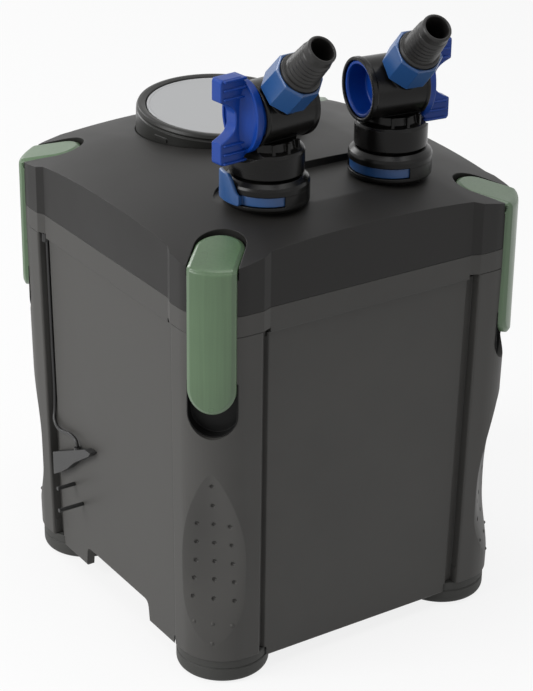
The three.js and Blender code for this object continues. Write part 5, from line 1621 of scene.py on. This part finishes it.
        # The root is a stack of superellipses, from an ellipse to a box as wide as the blade.
        bulk, (long, spread) = 1 - 0.5 * t, self.flare
        x, y = (np.sign(v) * np.abs(v) ** bulk for v in (np.cos(a), np.sin(a)))
        heights = np.broadcast_to(root - 0.2 + (self.blade_waist - 0.7) * t, (12, 72))
        wide = half - 0.1 + spread * (1 - t) ** 2.2
        shape = shape + lofted(np.stack([long * x, wide * y, heights], -1))
        for place in [s * (high - 1.2 - i * 5.4) for s in (-1, 1) for i in range(3)]:
            blade += block((place - 0.8, -half - 1.4, root + 1),
                           (place + 0.8, half + 1.4, tip - 1.8))
        name = f"valve_plug_{self.side.label}"
        piece(f"{name}_blade", blade.placed(self.along), Finish.HANDLE, name, bevel=0.8)
        piece(f"{name}_cup", shape.placed(self.along), Finish.HANDLE, name, [name])

    def build_nut(self) -> None:
        """Makes the eight-sided union nut: its octagon at five heights, less its bore."""
        start, end = self.nut_start, self.nut_end
        a = np.radians(22.5 + 45 * np.arange(8))
        ring = np.column_stack([np.cos(a), np.sin(a)]) * self.nut_flats / 2 / math.cos(math.pi / 8)
        rows = [(0.96, start), (1, start + 0.7), (1, end - 1.6), (0.945, end - 0.2), (0.93, end)]
        body = lofted(np.stack([np.column_stack([ring * k, np.full(8, z)]) for k, z in rows]))
        mouth = rod(self.flange_r + 0.3, end - 3.8, end + 1)
        throat = rod(self.boss_r + 0.3, start - 1, end - 3.5)
        mesh = worked("nut", body, [(Step.CUT, mouth), (Step.CUT, throat)])
        name = f"hose_nut_{self.side.label}"
        piece(f"{name}_octagon", shape_of(mesh).placed(self.uphill), Finish.LEVER, name, [name],
              bevel=0.6)

    def build_tail(self) -> None:
        """Makes the hose tail: a flange, a cone with low ridges and a smooth nose."""
        bore, end, wide = self.tail_bore, self.tail_end, self.flange_r
        foot, flange_z = self.boss_end + GAP, self.nut_end - 3.5
        top = flange_z + 6
        ridges = np.linspace(top, end - 6, 7)
        taper = np.interp(ridges, [top, end - 6], self.tail_roots)
        cone = [(bore, foot), (9.4, foot), (9.4, flange_z), (wide, flange_z), (wide, top - 1),
                (wide - 1, top), (self.tail_roots[0], top)]
        for z0, z1, r in zip(ridges[:-1], ridges[1:], taper[1:]):
            cone += [(r + 0.35, z0 + 0.5), (r - 0.15, z1 - 0.3)]
        cone += [(9.3, end - 5.8), (9.2, end - 1), (8.4, end), (bore + 0.4, end),
                 (bore, end - 0.8)]
        shape = revolved(softened(cone, 0.3, steps=2), 96, matrix=self.uphill)
        name = f"hose_tail_{self.side.label}"
        piece(f"{name}_cone", shape, Finish.TAIL, "tub", [name], smooth=36)

    def build(self) -> None:
        """Makes every piece of the tap."""
        self.build_collar()
        self.build_lever()
        self.build_body()
        self.build_plug()
        self.build_nut()
        self.build_tail()


# ------------------------------------------------------------------ lead
def blended(a: Points, b: Points, start: float, end: float, t: Points) -> Points:
    """Returns points that go evenly from a at the start to b at the end."""
    return (end - t) / (end - start) * a + (t - start) / (end - start) * b


@dataclass
class Lead:
    """The thin lead in the left face's rear groove, with its gland, clip and pegs."""

    r: float = 1.2
    groove_y: float = 80.25
    levels: tuple[float, ...] = (234.5, 200, 160, 125)  # heights of its points in the groove
    # Points of the loop: share of the way from the groove to the clip, y and height.
    loop: Sequence[tuple[float, float, float]] = (
        (0.25, 78.6, 113), (0.72, 76.6, 107.6), (0.95, 72.5, 104.2), (1, 66, 103.2),
        (1, 60, 104.4), (1, 54.5, 105.8), (1, 49.5, 105.9), (1, 45.2, 104.4), (1, 43.8, 102.2),
    )

    def groove(self, z: float) -> float:
        """Returns how far out the lead's middle lies in the groove at a height."""
        return (PLAN.half_x - 7) * float(PLAN.shrink(z)) + 0.6 + self.r

    def route(self) -> Points:
        """Returns the lead's centreline, a centripetal Catmull-Rom curve through its points."""
        out = (PLAN.half_x - 4.5) * float(PLAN.shrink(106.2)) + GAP + 2.5
        rows = [(-self.groove(z), self.groove_y * float(PLAN.shrink(z)), z) for z in self.levels]
        rows += [(-(self.groove(z) + (out - self.groove(z)) * k), y, z) for k, y, z in self.loop]
        rows.append((-out, 43.7, 101.1))
        p = np.array(rows)
        p = np.vstack([2 * p[0] - p[1], p, 2 * p[-1] - p[-2]])
        knots = np.concatenate([[0], np.cumsum(np.linalg.norm(np.diff(p, axis=0), axis=1) ** 0.5)])
        line = []
        for i in range(1, len(p) - 2):
            k = knots[i - 1 : i + 3]
            t = np.linspace(k[1], k[2], 13)[:-1, None]
            a = [blended(p[i + j - 1], p[i + j], k[j], k[j + 1], t) for j in range(3)]
            b = [blended(a[j], a[j + 1], k[j], k[j + 2], t) for j in range(2)]
            line.append(blended(b[0], b[1], k[1], k[2], t))
        return np.vstack([*line, p[-2]])

    def tube(self, path: Points) -> Shape:
        """Returns a round tube along a path: P(i, a) = path_i + r (n_i cos a + b_i sin a).

        Args:
            path: Points of its centreline.

        Returns:
            The closed tube.
        """
        ahead = np.gradient(path, axis=0)
        ahead /= np.linalg.norm(ahead, axis=1)[:, None]
        across = np.cross(ahead, (1.0, 0.0, 0.0))
        across /= np.linalg.norm(across, axis=1)[:, None]
        third = np.cross(ahead, across)
        a = np.linspace(0, 2 * np.pi, 17)[:-1]
        cosine, sine = np.cos(a)[None, :, None], np.sin(a)[None, :, None]
        ring = across[:, None] * cosine + third[:, None] * sine
        return lofted(path[:, None] + self.r * ring)

    def build(self, frame: dict) -> None:
        """Makes the lead and dresses what is on it.

        Args:
            frame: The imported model.
        """
        path = self.route()
        lead = piece("lead_flex", self.tube(path), Finish.LEAD, "tub", ["lead"])
        for name, finish in (("lead_gland", Finish.GLAND), ("lead_clip", Finish.CLIP),
                             ("lead_peg_upper", Finish.CLIP), ("lead_peg_lower", Finish.CLIP)):
            dressed(frame, name, finish)


# ------------------------------------------------------------------ inside
@dataclass
class Inside:
    """What the tub and the head hold: pump, baskets, media and seals."""

    kept: dict[Finish, Sequence[str]] = field(default_factory=lambda: {
        Finish.SEAL: ("head_gasket", "primer_seal", "spigot_seal_left", "spigot_seal_right"),
        Finish.INNER: ("primer_piston", "motor_housing", "impeller_cover", "inlet_tube"),
        Finish.STEEL: ("primer_spring", *(f"latch_pin_{corner.label}" for corner in Corner)),
        Finish.IMPELLER: ("impeller",),
        Finish.SHAFT: ("impeller_shaft",),
        Finish.BASKET: tuple(f"basket_{level}" for level in ("lower", "middle", "upper")),
        Finish.RINGS: ("media_middle",),
    })

    def pad(self, name: str, finish: Finish) -> None:
        """Makes a soft pad with rolled edges and a hole for the inlet tube.

        Each level is the pad's plan drawn in by a quarter circle at its rims.

        Args:
            name: The CAD node that it stands for.
            finish: Its finish.
        """
        low, high = (np.array(v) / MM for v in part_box(name))
        half = (high - low)[:2] / 2
        rim = np.linspace(0, np.pi / 2, 6)
        inset = np.concatenate([3 * (1 - np.sin(rim)), 3 * (1 - np.cos(rim))])
        levels = np.concatenate([low[2] + 3 * (1 - np.cos(rim)), high[2] - 3 * (1 - np.sin(rim))])
        sections = [np.column_stack([rounded_plan(half[0] - d, half[1] - d, 35 - d),
                                     np.full(60, z)]) for d, z in zip(inset, levels)]
        body = lofted(np.stack(sections))
        hole = rod(16.5, low[2] - 1, high[2] + 1, Tap(Side.LEFT).stand)
        mesh = worked(name, body, [(Step.CUT, hole)])
        made = piece(f"{name}_pad", mesh, finish, "tub", [name])

    def build(self, frame: dict) -> None:
        """Dresses the CAD nodes that stay and makes the soft media.

        Args:
            frame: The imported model.
        """
        for finish, names in self.kept.items():
            for name in names:
                dressed(frame, name, finish)
        self.pad("media_lower", Finish.FOAM)
        self.pad("media_upper", Finish.FLOSS)


# ------------------------------------------------------------------ studio
@dataclass
class Studio:
    """Camera, soft lights and the pale floor."""

    azimuth: float = -33.64
    elevation: float = 25.26
    roll: float = 0.76
    distance_mm: float = 1408.0
    focal_px: float = 2137.0
    width_px: float = 533.0
    target_mm: tuple[float, float, float] = (2.3, -1.5, 163.2)
    floor_r: float = 8.0  # metres
    floor_drop: float = 0.0002  # metres
    floor_white: float = 0.84  # share of plain white that the camera sees in the floor
    sky_fill: float = 0.24
    # Name, place and side in metres, and power of each lamp.
    lamps: Sequence[tuple[str, tuple[float, float, float], float, float]] = (
        ("key_left", (-2.2, 0.35, 1.3), 1.3, 46),
        ("soft_top", (0.2, -0.3, 2.4), 1.6, 20),
        ("fill_front", (0.6, -2.3, 0.9), 1.5, 2.5),
        ("glow_rear", (-0.35, 2.3, 1.25), 0.9, 16),
    )

    def build_camera(self) -> None:
        """Places the camera on a sphere round its target and turns it by its roll."""
        a, e = math.radians(self.azimuth), math.radians(self.elevation)
        back = Vector((math.sin(a) * math.cos(e), -math.cos(a) * math.cos(e), math.sin(e)))
        lens = bpy.data.cameras.new("photo_camera")
        lens.sensor_fit = "HORIZONTAL"
        lens.sensor_width = 36
        lens.lens = self.focal_px / self.width_px * 36
        lens.clip_end = 50
        made = bpy.data.objects.new("photo_camera", lens)
        bpy.context.scene.collection.objects.link(made)
        made.location = (Vector(self.target_mm) + back * self.distance_mm) * MM
        look = (-back).to_track_quat("-Z", "Y").to_matrix().to_4x4()
        made.matrix_world = Matrix.Translation(made.location) @ look @ turned(self.roll, "Z")
        bpy.context.scene.camera = made

    def light(self, name: str, place: Sequence[float], size: float, watts: float) -> None:
        """Adds a square soft lamp that faces the object.

        Args:
            name: The lamp's name.
            place: Where it stands, in metres.
            size: Its side in metres.
            watts: Its power.
        """
        data = bpy.data.lights.new(name, "AREA")
        data.size = size
        data.energy = watts
        made = bpy.data.objects.new(name, data)
        bpy.context.scene.collection.objects.link(made)
        aim = Vector((0, 0, 0.2)) - Vector(place)
        turn = aim.to_track_quat("-Z", "Y").to_matrix().to_4x4()
        made.matrix_world = Matrix.Translation(place) @ turn

    def build_floor(self) -> None:
        """Makes the pale floor, which keeps the shadow and looks white to the camera."""
        a = np.linspace(0, 2 * np.pi, 65)[:-1]
        r, drop = self.floor_r, self.floor_drop
        rim = np.column_stack([r * np.cos(a), r * np.sin(a), 0 * a - drop])
        mesh = bpy.data.meshes.new("floor")
        mesh.from_pydata(rim.tolist(), [], [tuple(range(64))])
        floor = bpy.data.objects.new("floor", mesh)
        bpy.context.scene.collection.objects.link(floor)
        skin = Skin("painted_floor_white")
        paint = {"Base Color": (0.9, 0.9, 0.9, 1), "Roughness": 0.9, "Specular IOR Level": 0.1}
        mesh.materials.append(skin.shaded(paint, {}))
        nodes = skin.tree.nodes
        glow = skin.add("Emission", {"Color": (1, 1, 1, 1), "Strength": 1.0})
        seen = skin.maths("MULTIPLY", skin.looked_at(), self.floor_white)
        mix = skin.add("MixShader", None, {0: seen, 1: nodes["Principled BSDF"].outputs[0],
                                           2: glow})
        skin.tree.links.new(mix, nodes["Material Output"].inputs["Surface"])

    def build_world(self) -> None:
        """Makes an even pale sky that is white to the camera and to glossy surfaces."""
        world = bpy.data.worlds.new("studio")
        bpy.context.scene.world = world
        world.use_nodes = True
        tree = world.node_tree
        tree.nodes.clear()
        sky = Nodes(tree)
        fill = sky.add("Background", {"Color": (0.97, 0.98, 1, 1), "Strength": self.sky_fill})
        white = sky.add("Background", {"Color": (1, 1, 1, 1), "Strength": 1.0})
        mix = sky.add("MixShader", None, {0: sky.looked_at(), 1: fill, 2: white})
        out = tree.nodes.new("ShaderNodeOutputWorld")
        tree.links.new(mix, out.inputs["Surface"])

    def build(self) -> None:
        """Makes the camera, the lights, the floor and the world."""
        self.build_camera()
        for lamp in self.lamps:
            self.light(*lamp)
        self.build_floor()
        self.build_world()


# ------------------------------------------------------------------ the whole
def main() -> None:
    """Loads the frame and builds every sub-assembly in order."""
    logging.basicConfig(level=logging.INFO, format="%(message)s")
    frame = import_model()
    bpy.context.scene.view_settings.view_transform = "Standard"
    Studio().build()
    Lead().build(frame)
    tub = Tub()
    tub.build()
    for corner in Corner:
        Foot().build(corner)
        tub.build_liner(corner)
    primer = Primer()
    head = Head()
    taps = [Tap(side) for side in Side]
    head.build_band()
    head.build_shell(primer.frame, taps[0].x, taps[0].y)
    for corner in Corner:
        Latch().build(corner)
    primer.build()
    for tap in taps:
        tap.build()
    Inside().build(frame)


if __name__ == "__main__":
    main()
